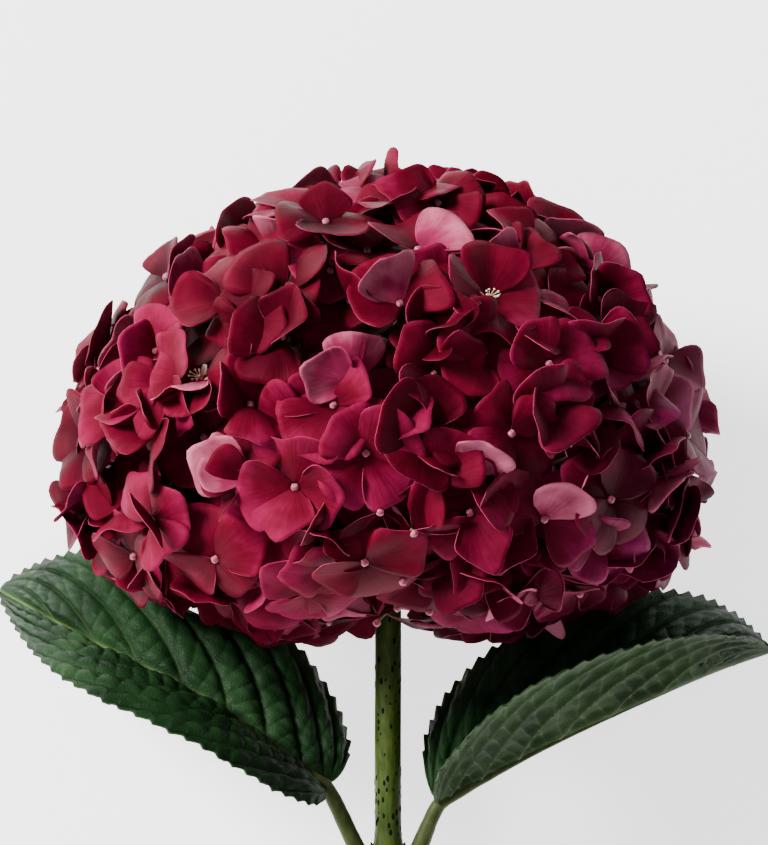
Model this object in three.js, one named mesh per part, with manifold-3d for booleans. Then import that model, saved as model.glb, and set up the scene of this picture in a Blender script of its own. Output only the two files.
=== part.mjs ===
// A cut mophead hydrangea, laid on its back as picked: one stem with a pair of opposite leaves,
// and a domed head of four-sepalled florets carried on branching stalks.
//
// Everything is modelled in the flower's own frame and then laid down as one group. In that frame
// X runs across the flower, Y runs up the stem, Z faces out of its front, and the origin is on the
// stem's axis at the widest level of the head. Lengths are millimetres, angles are degrees.
import * as THREE from "three";
import { mergeVertices } from "three/addons/utils/BufferGeometryUtils.js";
import Module from "manifold-3d";

const wasm = await Module();
wasm.setup();

// ---------------------------------------------------------------- driving dimensions
const gap = 0.3; // air left between two pieces that touch

const headRadius = 97; // stem axis to the outermost sepals
const headRise = 91; // widest level up to the crown
const headDrop = 51; // widest level down to the lowest sepals
const crownFullness = 2.15; // exponents of the head's outline: 2 is an ellipse, more is squarer
const skirtFullness = 2.4;
const headSettle = 10; // how far the back of the head flattens where it rests

const clusterCount = 48; // groups of florets, each on its own stalk
const floretsPerCluster = 3;
const floretReach = 16; // eye of a floret to the tip of a sepal
const cleftShare = 0.6; // the notch between two sepals, as a share of that reach
const sepalThickness = 0.9;
const sepalRise = 5; // height of the sepal tips above the eye
const floretLean = 14; // greatest random lean of a floret off the head's surface
const eyeClearance = 4; // lowest height of a floret's eye above the resting surface
const pedicelRadius = 0.8;
const stalkRadius = 1.2;
const stalkTop = 0.3; // where a cluster's pedicels meet, from its florets' eyes down to the branching

const stemRadius = 4;
const stemBelowHead = 249; // lowest sepals to the cut
const cutSlant = 5; // how much further the cut reaches at the back than at the front
const nodeBelowHead = 69; // lowest sepals to the pair of leaves
const nodeRadius = 5.6;
const scarBelowNode = 96; // leaf node to the older, stripped node
const scarRadius = 5;
const stemGapRadius = 21; // nearest that a floret's eye comes to the stem's axis
const branchLevel = 21; // lowest sepals up to the first pair of rays
const rayPairStep = 6; // height between one pair of rays and the next
const rayRadius = 1.7;
const rayLength = 0.62; // ray tip, from the branching out to the middle of its clusters' stalk tops
const rayArch = 0.45; // how high a ray bows, as a share of its length
const forkLength = 0.6; // fork tip, from the ray out to its cluster's stalk top
const firstFork = 0.5; // where a ray's lowest and highest forks leave it, from its foot to its tip
const lastFork = 0.97;

const leafThickness = 1.2;
const leafHalfWidth = 39;
const leafClearance = 3; // kept between a leaf and the head's outline
const toothDepth = 2.5;
const teethPerSide = 14;
const petioleRadius = 2.4;

// Each leaf's midrib starts at the petiole's end and runs to the tip; points are from the leaf node.
// Pairs run from base to tip: the angle of each half blade from the flower's front plane, and how
// far the side veins lean towards the tip.
const leftLeaf = {
  name: "leaf_left",
  midrib: [[-19, 26, 3], [-52, 50, 2], [-90, 68, -14], [-124, 81, -76]],
  foldFar: [50, 8],
  foldNear: [84, 72],
  veinLean: [-30, 26],
};
const rightLeaf = {
  name: "leaf_right",
  midrib: [[15, 21, 3], [47, 38, 1], [88, 55, -14], [122, 62, -74]],
  foldFar: [36, 12],
  foldNear: [122, 130],
  veinLean: [-14, 26],
};

// ---------------------------------------------------------------- laid-down pose
const headCentreHeight = headRadius - headSettle;
const stemEnd = headDrop + stemBelowHead;
const lie = Math.asin(headCentreHeight / Math.hypot(stemEnd, stemRadius)) - Math.atan(stemRadius / stemEnd);
const up = new THREE.Vector3(0, Math.sin(lie), Math.cos(lie)); // the surface's normal, in the flower's frame
const heightOf = (p) => headCentreHeight + p.dot(up);

// ---------------------------------------------------------------- small helpers
const vec = (x, y, z) => new THREE.Vector3(x, y, z);
const mix = (a, b, t) => a + (b - a) * t;
const between = (a, b, t) => a.clone().lerp(b, t);

const askew = vec(0.3, 1, 0.2); // a direction that no floret faces, to measure turns from

// A repeatable pseudo-random number from 0 to 1.
function chance(seed, salt) {
  const wave = Math.sin(seed * 12.9898 + salt * 78.233) * 43758.5453;
  return wave - Math.floor(wave);
}

function toSolid(geometry) {
  const plain = geometry.clone();
  plain.deleteAttribute("normal");
  plain.deleteAttribute("uv");
  const merged = mergeVertices(plain, 1e-4);
  return new wasm.Manifold(
    new wasm.Mesh({
      numProp: 3,
      vertProperties: new Float32Array(merged.attributes.position.array),
      triVerts: new Uint32Array(merged.index.array),
    }),
  );
}

function toGeometry(solid) {
  const mesh = solid.getMesh();
  return new THREE.BufferGeometry()
    .setAttribute("position", new THREE.BufferAttribute(new Float32Array(mesh.vertProperties), 3))
    .setIndex(new THREE.BufferAttribute(new Uint32Array(mesh.triVerts), 1));
}

const join = (solids) => solids.reduce((whole, piece) => whole.add(piece));

// Fills any pocket that crossing bars have closed between them.
const withoutPockets = (solid) => join(solid.decompose().filter((shell) => shell.volume() > 0));

// Moves every vertex of a geometry to place(x, y, z).
function reshape(geometry, place) {
  const at = geometry.attributes.position;
  for (let i = 0; i < at.count; i++) {
    const p = place(at.getX(i), at.getY(i), at.getZ(i));
    at.setXYZ(i, p.x, p.y, p.z);
  }
  return geometry;
}

// A straight round bar from a to b that tapers from one radius to the other.
function bar(a, b, radiusA, radiusB, sides) {
  const length = a.distanceTo(b);
  const geometry = new THREE.CylinderGeometry(radiusB, radiusA, length, sides);
  geometry.translate(0, length / 2, 0);
  geometry.applyQuaternion(new THREE.Quaternion().setFromUnitVectors(vec(0, 1, 0), b.clone().sub(a).normalize()));
  return toSolid(geometry.translate(a.x, a.y, a.z));
}

// A round bar that follows a curve and tapers along it.
function bentBar(curve, radiusA, radiusB, sides, steps) {
  const side = vec(0, 0, 1);
  return toSolid(
    reshape(new THREE.CylinderGeometry(1, 1, 1, sides, steps), (x, y, z) => {
      const t = y + 0.5;
      const along = curve.getTangent(t);
      const across = side.clone().cross(along).normalize();
      const third = across.clone().cross(along);
      const r = mix(radiusA, radiusB, t);
      return curve.getPoint(t).addScaledVector(across, x * r).addScaledVector(third, z * r);
    }),
  );
}

// ---------------------------------------------------------------- the head's outline
// level is 1 on the outline of a head with these sizes, less inside and more outside.
function outlineScale(p, inset) {
  const [high, n] = p.y > 0 ? [headRise, crownFullness] : [headDrop, skirtFullness];
  const level = (Math.hypot(p.x, p.z) / (headRadius - inset)) ** n + (Math.abs(p.y) / (high - inset)) ** n;
  return level ** (-1 / n);
}

const onOutline = (p, inset) => p.clone().multiplyScalar(outlineScale(p, inset));

function outlineNormal(p) {
  const [high, n] = p.y > 0 ? [headRise, crownFullness] : [headDrop, skirtFullness];
  const across = Math.hypot(p.x, p.z);
  const slopeAcross = across ** (n - 1) / headRadius ** n;
  const slopeAlong = (Math.sign(p.y) * Math.abs(p.y) ** (n - 1)) / high ** n;
  return vec((p.x / across) * slopeAcross, slopeAlong, (p.z / across) * slopeAcross).normalize();
}

// Brings a floret's eye back to its place: on the head, off the stem, and above the surface.
function settleEye(p) {
  const eye = onOutline(p, sepalRise);
  const across = Math.hypot(eye.x, eye.z);
  if (eye.y < 0 && across < stemGapRadius) {
    eye.x *= stemGapRadius / across;
    eye.z *= stemGapRadius / across;
  }
  const short = eyeClearance - heightOf(eye);
  return short > 0 ? eye.addScaledVector(up, short) : eye;
}

// Pushes crowded eyes apart until they are evenly spread.
function spreadOut(eyes, spacing, rounds) {
  for (let round = 0; round < rounds; round++) {
    const moves = eyes.map(() => vec(0, 0, 0));
    eyes.forEach((a, i) =>
      eyes.slice(i + 1).forEach((b, k) => {
        const apart = a.clone().sub(b);
        const short = spacing - apart.length();
        if (short <= 0) return;
        apart.setLength(short * 0.3);
        moves[i].add(apart);
        moves[i + 1 + k].sub(apart);
      }),
    );
    eyes.forEach((eye, i) => eye.copy(settleEye(eye.add(moves[i]))));
  }
  return eyes;
}

// ---------------------------------------------------------------- where the florets stand
const goldenAngle = Math.PI * (3 - Math.sqrt(5));
const headArea = 4 * Math.PI * headRadius * ((headRise + headDrop) / 2);
const evenSpacing = (count) => Math.sqrt((headArea / count) * (2 / Math.sqrt(3)));
const clusterSpacing = evenSpacing(clusterCount);
const floretSpacing = evenSpacing(clusterCount * floretsPerCluster);
const clusterRounds = 60;
const floretRounds = 40;

// The centres start on a spiral from crown to skirt.
const spiral = Array.from({ length: clusterCount }, (_, i) => {
  const y = mix(headRise, -headDrop, (i + 0.5) / clusterCount);
  const ring = headRadius * Math.sqrt(1 - (y / (y > 0 ? headRise : headDrop)) ** 2);
  return settleEye(vec(Math.cos(i * goldenAngle) * ring, y, Math.sin(i * goldenAngle) * ring));
});
const clusterCentres = spreadOut(spiral, clusterSpacing, clusterRounds);

const florets = clusterCentres.flatMap((centre, cluster) => {
  const normal = outlineNormal(centre);
  const across = normal.clone().cross(askew).normalize();
  const turn = chance(cluster, 1) * 2 * Math.PI;
  return Array.from({ length: floretsPerCluster }, (_, k) => {
    const around = across.clone().applyAxisAngle(normal, turn + (k * 2 * Math.PI) / floretsPerCluster);
    return { cluster, eye: settleEye(centre.clone().addScaledVector(around, floretSpacing / 2)) };
  });
});
spreadOut(florets.map((f) => f.eye), floretSpacing, floretRounds);

florets.forEach((floret, i) => {
  const axis = outlineNormal(floret.eye);
  const leanAxis = axis.clone().cross(askew).normalize().applyAxisAngle(axis, chance(i, 2) * 2 * Math.PI);
  const lean = THREE.MathUtils.degToRad(floretLean * chance(i, 3));
  floret.axis = axis.applyAxisAngle(leanAxis, lean);
  floret.spin = (chance(i, 4) * Math.PI) / 2;
});

// ---------------------------------------------------------------- florets
// Longest that a sepal edge can run from start along way: it stops half a gap short of the plane
// midway to each neighbouring eye, clear of the stem, at the surface, and on the head's outline.
function freeReach(floret, start, way, wanted) {
  let reach = wanted;
  const stopAt = (normal, room) => {
    const rate = way.dot(normal);
    if (rate > 1e-6) reach = Math.min(reach, Math.max(0, room) / rate);
  };
  for (const other of florets) {
    if (other === floret) continue;
    const toOther = other.eye.clone().sub(floret.eye);
    const distance = toOther.length();
    if (distance > 3 * floretReach) continue;
    toOther.divideScalar(distance);
    stopAt(toOther, (distance - gap) / 2 - start.clone().sub(floret.eye).dot(toOther));
  }
  const toStem = vec(-start.x, 0, -start.z);
  const stemDistance = toStem.length();
  if (start.y < 0) stopAt(toStem.normalize(), stemDistance - nodeRadius - gap);
  stopAt(up.clone().negate(), heightOf(start));
  while (reach > 1 && outlineScale(start.clone().addScaledVector(way, reach), 0) < 1) reach *= 0.95;
  return reach;
}

const spokesPerSepal = 3; // two corners of the sepal and the cleft beside it
const spokeCount = 4 * spokesPerSepal;

// A floret: four sepals as one shallow dish, cleft between them, on a four-sided pedicel.
function floretSolid(floret, foot) {
  const { eye, axis, spin } = floret;
  const first = axis.clone().cross(askew).normalize();
  const down = foot.clone().sub(eye).normalize();
  const pedicelSide = first.clone().cross(down).normalize();
  const cup = Math.atan(sepalRise / floretReach);
  const top = 0.4; // rows of the cylinder: foot, collar under the eye, lower rim and upper rim
  const low = -0.4;
  return toSolid(
    reshape(new THREE.CylinderGeometry(1, 1, 1, spokeCount, 3), (x, y, z) => {
      const start = eye.clone().addScaledVector(axis, (y > top ? 0.5 : -0.5) * sepalThickness);
      const isCentre = Math.hypot(x, z) < 0.5;
      const spoke = Math.round((Math.atan2(x, z) / (2 * Math.PI)) * spokeCount + spokeCount) % spokeCount;
      if (y > 0) {
        if (isCentre) return start;
        const turn = spin + ((spoke + 0.5) / spokeCount) * 2 * Math.PI;
        const way = first.clone().applyAxisAngle(axis, turn).multiplyScalar(Math.cos(cup));
        way.addScaledVector(axis, Math.sin(cup));
        const isCleft = spoke % spokesPerSepal === 1;
        return start.addScaledVector(way, freeReach(floret, start, way, floretReach) * (isCleft ? cleftShare : 1));
      }
      if (isCentre) return foot.clone();
      const corner = Math.floor(((spoke + spokeCount - 1) % spokeCount) / spokesPerSepal);
      const out = pedicelSide.clone().applyAxisAngle(down, -spin - (corner * Math.PI) / 2);
      return (y < low ? foot.clone() : start).addScaledVector(out, pedicelRadius);
    }),
  );
}

// A cluster: its florets on their pedicels, and the short stalk that they meet on.
function clusterSolid({ members, junction, foot }) {
  return join([bar(foot, junction, stalkRadius, stalkRadius, 4), ...members.map((f) => floretSolid(f, junction))]);
}

// ---------------------------------------------------------------- branching stalks
const firstPairY = branchLevel - headDrop;
const branchPoint = vec(0, firstPairY, 0);

const clusters = clusterCentres.map((_, cluster) => {
  const members = florets.filter((f) => f.cluster === cluster);
  const middle = members.reduce((sum, f) => sum.add(f.eye), vec(0, 0, 0)).divideScalar(members.length);
  return { members, middle, junction: between(middle, branchPoint, stalkTop) };
});

// Four lower rays carry the skirt and four upper ones the crown, each with a quarter turn of it.
// They leave the stem in opposite pairs, each pair square to the one below.
function sharedOut(some, rays, startAngle) {
  const angleOf = (c) => (Math.atan2(c.middle.z, c.middle.x) - startAngle + 4 * Math.PI) % (2 * Math.PI);
  const sorted = [...some].sort((a, b) => angleOf(a) - angleOf(b));
  const share = some.length / rays;
  return Array.from({ length: rays }, (_, i) => sorted.slice(Math.round(i * share), Math.round((i + 1) * share)));
}

const byHeight = [...clusters].sort((a, b) => b.middle.y - a.middle.y);
const crownShare = Math.round(clusterCount / 3);
const rayGroups = [
  ...sharedOut(byHeight.slice(crownShare), 4, -Math.PI / 4),
  ...sharedOut(byHeight.slice(0, crownShare), 4, 0),
];

// ---------------------------------------------------------------- stem
const nodeY = -(headDrop + nodeBelowHead);
const scarY = nodeY - scarBelowNode;
const apexY = firstPairY + 3.2 * rayPairStep;

// Radius of the stem at height y, with extra added all over.
function stemProfile(extra) {
  const swelling = (centre, radius, half) => [
    [stemRadius, centre - half],
    [radius, centre - half * 0.25],
    [radius, centre + half * 0.25],
    [stemRadius, centre + half],
  ];
  const outline = [
    [stemRadius, -stemEnd],
    ...swelling(scarY, scarRadius, 9),
    ...swelling(nodeY, nodeRadius, 11),
    [stemRadius, firstPairY - rayPairStep],
    [stemRadius * 1.1, firstPairY],
    [stemRadius * 0.75, apexY],
  ].map(([r, y]) => new THREE.Vector2(r + extra, y));
  return [new THREE.Vector2(0, -stemEnd), ...outline, new THREE.Vector2(0, apexY + stemRadius * 0.5 + extra)];
}

function stemSolid(extra) {
  const lathe = new THREE.LatheGeometry(stemProfile(extra), 12);
  return toSolid(
    reshape(lathe, (x, y, z) => vec(x, y < 1e-3 - stemEnd ? y + (z / stemRadius + 1) * (cutSlant / 2) : y, z)),
  );
}

const stemAndAir = stemSolid(gap);

// ---------------------------------------------------------------- rays
function raySolid(group, index) {
  const pair = 2 * Math.floor(index / 4) + (index % 2);
  const start = vec(0, firstPairY + pair * rayPairStep, 0);
  const middle = group.reduce((sum, c) => sum.add(c.junction), vec(0, 0, 0)).divideScalar(group.length);
  const end = between(start, middle, rayLength);
  const bow = vec(end.x, 0, end.z).setLength(0.8).setY(0.6); // out and up the stem
  const bend = start.clone().addScaledVector(bow, start.distanceTo(end) * rayArch);
  const spine = new THREE.QuadraticBezierCurve3(start, bend, end);
  const pieces = [bentBar(spine, rayRadius, rayRadius * 0.8, 5, 4)];
  const inward = [...group].sort((a, b) => a.junction.distanceTo(start) - b.junction.distanceTo(start));
  inward.forEach((cluster, k) => {
    const root = spine.getPoint(mix(firstFork, lastFork, k / (group.length - 1)));
    cluster.foot = between(root, cluster.junction, forkLength);
    const stop = cluster.foot.clone().addScaledVector(root.clone().sub(cluster.foot).normalize(), gap);
    pieces.push(bar(root, stop, stalkRadius, stalkRadius, 4));
  });
  return withoutPockets(join(pieces).subtract(stemAndAir));
}

// ---------------------------------------------------------------- leaves
// Half-width of the blade from its base at 0 to its tip at 1, as a share of the widest.
const bladeWidth = (t) => Math.sin(Math.PI * t ** 0.78) ** 0.72 * (1 - 0.18 * t ** 3);

// A point on a leaf's middle surface: t runs from base to tip, w from -1 (near edge) to 1 (far edge).
function leafPoint(leaf, curve, t, w) {
  const along = curve.getTangent(THREE.MathUtils.clamp(t, 0.001, 0.999));
  const flat = vec(along.x, along.y, 0).normalize();
  const across = vec(0, 0, Math.sign(-along.x)).cross(flat).multiplyScalar(-1);
  if (across.y < 0) across.negate();
  const fold = THREE.MathUtils.degToRad(w > 0 ? mix(...leaf.foldFar, t) : mix(...leaf.foldNear, t));
  const way = across.multiplyScalar(w > 0 ? Math.cos(fold) : -Math.cos(fold));
  way.z = w > 0 ? -Math.sin(fold) : Math.sin(fold);
  const lean = THREE.MathUtils.degToRad(mix(...leaf.veinLean, t));
  way.multiplyScalar(Math.cos(lean)).addScaledVector(along, Math.sin(lean));
  const tooth = Math.abs(w) > 0.99 ? toothDepth * Math.abs(((t * teethPerSide) % 1) - 0.5) * 2 : 0;
  const width = Math.abs(w) * leafHalfWidth * bladeWidth(t) + (t > 0.04 && t < 0.97 ? tooth : 0);
  const p = curve.getPoint(t).addScaledVector(way, width);
  return restLeaf(p);
}

// A leaf gives way to the head above it and lies on the surface below it.
function restLeaf(p) {
  const scale = outlineScale(p, -leafClearance);
  if (scale > 1) p.multiplyScalar(scale);
  const short = leafThickness / 2 - heightOf(p);
  return short > 0 ? p.addScaledVector(up, short) : p;
}

function leafSolid(leaf) {
  const points = leaf.midrib.map(([x, y, z]) => vec(x, y + nodeY, z));
  const midrib = new THREE.CatmullRomCurve3(points, false, "centripetal");
  const columns = 4;
  const rows = teethPerSide * 2;
  const step = 0.004;
  const blade = reshape(new THREE.BoxGeometry(2, 1, 1, columns, rows, 1), (w, y, side) => {
    const t = mix(0.002, 0.998, y + 0.5);
    const p = leafPoint(leaf, midrib, t, w);
    const inner = Math.max(-0.98, Math.min(0.98, w));
    const acrossWay = leafPoint(leaf, midrib, t, inner + 0.02).sub(leafPoint(leaf, midrib, t, inner - 0.02));
    const ahead = leafPoint(leaf, midrib, Math.min(t + step, 1), inner);
    const alongWay = ahead.sub(leafPoint(leaf, midrib, Math.max(t - step, 0), inner));
    const normal = acrossWay.cross(alongWay).normalize();
    return p.addScaledVector(normal, side * leafThickness);
  });
  const stalk = new THREE.CatmullRomCurve3([vec(0, nodeY - 4, 0), between(vec(0, nodeY, 0), points[0], 0.5), points[0], midrib.getPoint(0.12)]);
  const petiole = bentBar(stalk, petioleRadius, petioleRadius * 0.6, 8, 8);
  return join([toSolid(blade), petiole]).subtract(stemAndAir);
}

// ---------------------------------------------------------------- the flower, laid down
const green = new THREE.MeshStandardMaterial({ color: 0x5a7a2c, roughness: 0.5, metalness: 0 });
const stalkGreen = new THREE.MeshStandardMaterial({ color: 0x7a7a42, roughness: 0.6, metalness: 0 });
const leafGreen = new THREE.MeshStandardMaterial({ color: 0x2f4a34, roughness: 0.45, metalness: 0 });
const crimson = new THREE.MeshStandardMaterial({ color: 0x9c1f3c, roughness: 0.6, metalness: 0 });

const flower = new THREE.Group();

function addPiece(name, solid, material) {
  const mesh = new THREE.Mesh(toGeometry(solid), material);
  mesh.name = name;
  flower.add(mesh);
}

const numbered = (name, i) => `${name}_${String(i + 1).padStart(2, "0")}`;

addPiece("stem", stemSolid(0), green);
rayGroups.forEach((group, i) => addPiece(numbered("ray", i), raySolid(group, i), stalkGreen));
clusters.forEach((cluster, i) => addPiece(numbered("floret_cluster", i), clusterSolid(cluster), crimson));
[leftLeaf, rightLeaf].forEach((leaf) => addPiece(leaf.name, leafSolid(leaf), leafGreen));

flower.rotation.x = lie;
flower.position.z = headCentreHeight;
const laid = new THREE.Group().add(flower);
laid.updateMatrixWorld(true);
const bounds = new THREE.Box3().setFromObject(laid, true);
const middle = bounds.getCenter(new THREE.Vector3());
flower.position.x -= middle.x;
flower.position.y -= middle.y;
flower.position.z -= bounds.min.z;

export default laid;
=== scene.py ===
# A cut mophead hydrangea, laid on its back: the stem with its pores, two leaves on their stalks,
# the buds at the nodes, the florets' sepals with buds and open flowers in their eyes, and the
# stalks inside the head that carry them. The CAD model is the frame.
import math

import bpy
import numpy as np
from mathutils import Matrix


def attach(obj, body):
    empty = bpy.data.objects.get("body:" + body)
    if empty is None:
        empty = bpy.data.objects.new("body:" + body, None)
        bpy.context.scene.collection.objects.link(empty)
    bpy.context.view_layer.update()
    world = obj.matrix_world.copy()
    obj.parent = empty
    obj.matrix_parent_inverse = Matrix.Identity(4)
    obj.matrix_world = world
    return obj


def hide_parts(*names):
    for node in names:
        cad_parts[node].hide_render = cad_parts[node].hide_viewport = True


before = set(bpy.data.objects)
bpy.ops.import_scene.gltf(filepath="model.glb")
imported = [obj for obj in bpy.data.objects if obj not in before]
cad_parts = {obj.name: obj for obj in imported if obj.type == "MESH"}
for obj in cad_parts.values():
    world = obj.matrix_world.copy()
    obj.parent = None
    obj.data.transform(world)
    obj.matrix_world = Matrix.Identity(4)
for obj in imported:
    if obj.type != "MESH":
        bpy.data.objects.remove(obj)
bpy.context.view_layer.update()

# ------------------------------------------------------------------ how the flower lies
# The flower lies on its back, on the cut end of its stem and the back of its head. Its own frame
# has x across, y up the stem and z out of its front, with the origin on the stem's axis at the
# head's widest level. Shapes are worked out there in millimetres, then laid down.
CUT_BELOW_WIDEST = 297.5  # middle of the cut face to the head's widest level
CUT_RING_DEPTH = 15.0
CORNER_GRID = 1e5  # cells to the metre: corners in the same cell are one corner


def solid_of(node):
    """A CAD solid's shared corners, in metres, and its triangles."""
    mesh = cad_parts[node].data
    corners = np.array([v.co for v in mesh.vertices], float)
    cells = np.round(corners * CORNER_GRID)
    _, first, shared = np.unique(cells, axis=0, return_index=True, return_inverse=True)
    triangles = shared.ravel()[np.array([tuple(p.vertices) for p in mesh.polygons])]
    return corners[first], triangles


def unit(v):
    return v / np.linalg.norm(v, axis=-1, keepdims=True)


stem_corners, _ = solid_of("stem")
near_cut = stem_corners[:, 1] < stem_corners[:, 1].min() + CUT_RING_DEPTH / 1000
cut_centre = stem_corners[near_cut].mean(0)
stem_top = stem_corners[stem_corners[:, 1].argmax()]
up_stem = unit(stem_top - cut_centre)
flower_axes = np.array([[1, 0, 0], up_stem, np.cross([1, 0, 0], up_stem)])
head_centre = cut_centre + up_stem * CUT_BELOW_WIDEST / 1000
floor_normal = flower_axes[:, 2]  # the surface's normal, in the flower's frame
centre_height = head_centre[2] * 1000


def laid(points):
    """Points of the flower's frame, in millimetres, laid down in metres."""
    return head_centre + np.asarray(points, float) / 1000 @ flower_axes


def upright(points):
    """Points in metres, back in the flower's frame in millimetres."""
    return (np.asarray(points, float) - head_centre) @ flower_axes.T * 1000


def height_of(points):
    return centre_height + points @ floor_normal


# ------------------------------------------------------------------ the table and the light
# A pale table top, a large soft box at the upper left in front of the flower, and a weak fill.
AIM = (-1.2, 14.4, 0.0)
CAMERA_DISTANCE = 1200.0
FRAME_HEIGHT = 253.5
SENSOR = 36.0
KEY_WATTS = 194
FILL_WATTS = 5
ROOM_GLOW = 0.38
TABLE_REACH = 3.0
TABLE_GLOW = 1.9


def face_flower(thing, place):
    """Puts a light or the camera at a place in the flower's frame, looking at the aim point."""
    back = unit(np.subtract(place, AIM))
    across = unit(np.cross([0, 1, 0], back))
    turn = np.eye(4)
    turn[:3, :3] = (np.array([across, np.cross(back, across), back]) @ flower_axes).T
    turn[:3, 3] = laid(place)
    thing.matrix_world = Matrix(turn.tolist())


def soft_box(name, place, size, watts, colour):
    light = bpy.data.lights.new(name, "AREA")
    light.shape = "DISK"
    light.size = size
    light.energy = watts
    light.color = colour
    box = bpy.data.objects.new(name, light)
    bpy.context.scene.collection.objects.link(box)
    face_flower(box, place)


def add_node(tree, kind, inputs=None, **settings):
    """A node with its settings, and its inputs set to values or joined to other nodes' outputs."""
    node = tree.nodes.new(kind)
    for key, value in settings.items():
        setattr(node, key, value)
    for key, value in (inputs or {}).items():
        socket = node.inputs[key]
        if isinstance(value, bpy.types.NodeSocket):
            tree.links.new(value, socket)
        else:
            socket.default_value = value
    return node


def new_material(name, **surface):
    """A material whose surface shader has these socket values, and its node tree and shader."""
    material = bpy.data.materials.new(name)
    material.use_nodes = True
    shader = material.node_tree.nodes["Principled BSDF"]
    for key, value in surface.items():
        shader.inputs[key.replace("_", " ")].default_value = value
    return material, material.node_tree, shader


camera_data = bpy.data.cameras.new("camera")
camera_data.sensor_width = SENSOR
camera_data.lens = SENSOR * CAMERA_DISTANCE / FRAME_HEIGHT
camera = bpy.data.objects.new("camera", camera_data)
bpy.context.scene.collection.objects.link(camera)
face_flower(camera, (AIM[0], AIM[1], CAMERA_DISTANCE))
bpy.context.scene.camera = camera

soft_box("key_light", (-1750, 1080, 1420), 1.0, KEY_WATTS, (1.0, 0.985, 0.97))
soft_box("fill_light", (-300, -500, 1700), 1.4, FILL_WATTS, (0.95, 0.97, 1.0))
room = bpy.data.worlds.new("room")
room.use_nodes = True
sky = room.node_tree.nodes["Background"]
sky.inputs["Color"].default_value = (0.93, 0.95, 1.0, 1)
sky.inputs["Strength"].default_value = ROOM_GLOW
bpy.context.scene.world = room

table_mesh = bpy.data.meshes.new("table")
table_corners = [(x * TABLE_REACH, y * TABLE_REACH, 0) for x, y in ((-1, -1), (1, -1), (1, 1), (-1, 1))]
table_mesh.from_pydata(table_corners, [], [(0, 1, 2, 3)])
table = bpy.data.objects.new("table", table_mesh)
bpy.context.scene.collection.objects.link(table)
table_paint, _, _ = new_material(
    "table_paint", Base_Color=(0.9, 0.9, 0.9, 1), Roughness=0.8,
    Emission_Color=(1, 1, 1, 1), Emission_Strength=TABLE_GLOW)
table_mesh.materials.append(table_paint)

# ------------------------------------------------------------------ the stem
# One green stem, round and faintly ribbed, swollen at the node that bears the leaves and at an
# older node below it, and cut on a slant through its white pith.
STEM_RADIUS = 4.0
RIBS = 6
RIBBING = 0.012  # a rib's rise, as a share of the radius
NODE_RADIUS = 5.6
NODE_HALF = 13.0  # from a swelling's middle to its end
SCAR_RADIUS = 5.0
SCAR_HALF = 10.0
SCAR_LIP = 0.6
HEAD_DROP = 51.0  # the head's widest level to its underside
NODE_BELOW_HEAD = 69.0
NODE_TO_SCAR = 96.0
NODE_Y = -(HEAD_DROP + NODE_BELOW_HEAD)
SCAR_Y = NODE_Y - NODE_TO_SCAR
STEM_TOP_Y = -10.8
CUT_SLANT = 5.0
PITH_SINK = 0.25
STEM_SIDES = 48
STEM_RINGS = 420
PITH_RINGS = (0.3, 0.55, 0.8, 0.92)  # shares of the cut face's radius


def mix(a, b, t):
    return a + (b - a) * t


def smooth_step(low, high, x):
    t = np.clip((x - low) / (high - low), 0, 1)
    return t * t * (3 - 2 * t)


def grid_faces(rows, columns, closed=False):
    """Quads between the rows and columns of a grid; closed joins the last column to the first."""
    steps = columns if closed else columns - 1
    row, column = np.meshgrid(np.arange(rows - 1), np.arange(steps), indexing="ij")
    here, after = row * columns + column, row * columns + (column + 1) % columns
    return np.stack([here, after, after + columns, here + columns], -1).reshape(-1, 4)


def new_object(name, points, faces, materials, edges=()):
    mesh = bpy.data.meshes.new(name)
    mesh.from_pydata(np.asarray(points).tolist(), list(edges), [tuple(map(int, face)) for face in faces])
    mesh.polygons.foreach_set("use_smooth", np.ones(len(mesh.polygons), bool))
    for material in materials:
        mesh.materials.append(material)
    piece = bpy.data.objects.new(name, mesh)
    bpy.context.scene.collection.objects.link(piece)
    return piece


def point_values(piece, name, values):
    """A number for each of a mesh's points, for its material or its geometry tree to read."""
    layer = piece.data.attributes.new(name, "FLOAT", "POINT")
    layer.data.foreach_set("value", np.asarray(values, np.float32).ravel())


def hand_over(piece, slot, *nodes):
    """The finished piece rides on the flower's one body, in place of CAD nodes; slot is not used."""
    if nodes:
        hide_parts(*nodes)
    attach(piece, "root")


def colour_ramp(tree, factor, *stops):
    """A colour ramp through (place, red, green, blue) stops."""
    ramp = add_node(tree, "ShaderNodeValToRGB", {"Fac": factor})
    elements = ramp.color_ramp.elements
    while len(elements) < len(stops):
        elements.new(0.5)
    for element, (place, *colour) in zip(elements, stops):
        element.position = place
        element.color = (*colour, 1)
    return ramp.outputs["Color"]


def mix_colours(tree, factor, first, second, blend="MIX"):
    """A colour this share of the way from the first to the second, or the two multiplied."""
    inputs = {0: factor, 6: first, 7: second}
    return add_node(tree, "ShaderNodeMix", inputs, data_type="RGBA", blend_type=blend).outputs[2]


def maths(tree, operation, *values):
    """One step of arithmetic on numbers or other nodes' outputs."""
    return add_node(tree, "ShaderNodeMath", dict(enumerate(values)), operation=operation).outputs[0]


def attribute(tree, name):
    """What the mesh carries under this name, for a material."""
    return add_node(tree, "ShaderNodeAttribute", attribute_name=name).outputs["Fac"]


def stretched_noise(tree, stretch, detail=3.0):
    """Noise on the piece's own place, with this many features to the metre along x, y and z."""
    here = add_node(tree, "ShaderNodeTexCoord").outputs["Object"]
    mapped = add_node(tree, "ShaderNodeMapping", {"Vector": here, "Scale": stretch}).outputs[0]
    noise = {"Vector": mapped, "Scale": 1.0, "Detail": detail}
    return add_node(tree, "ShaderNodeTexNoise", noise).outputs["Fac"]


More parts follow.
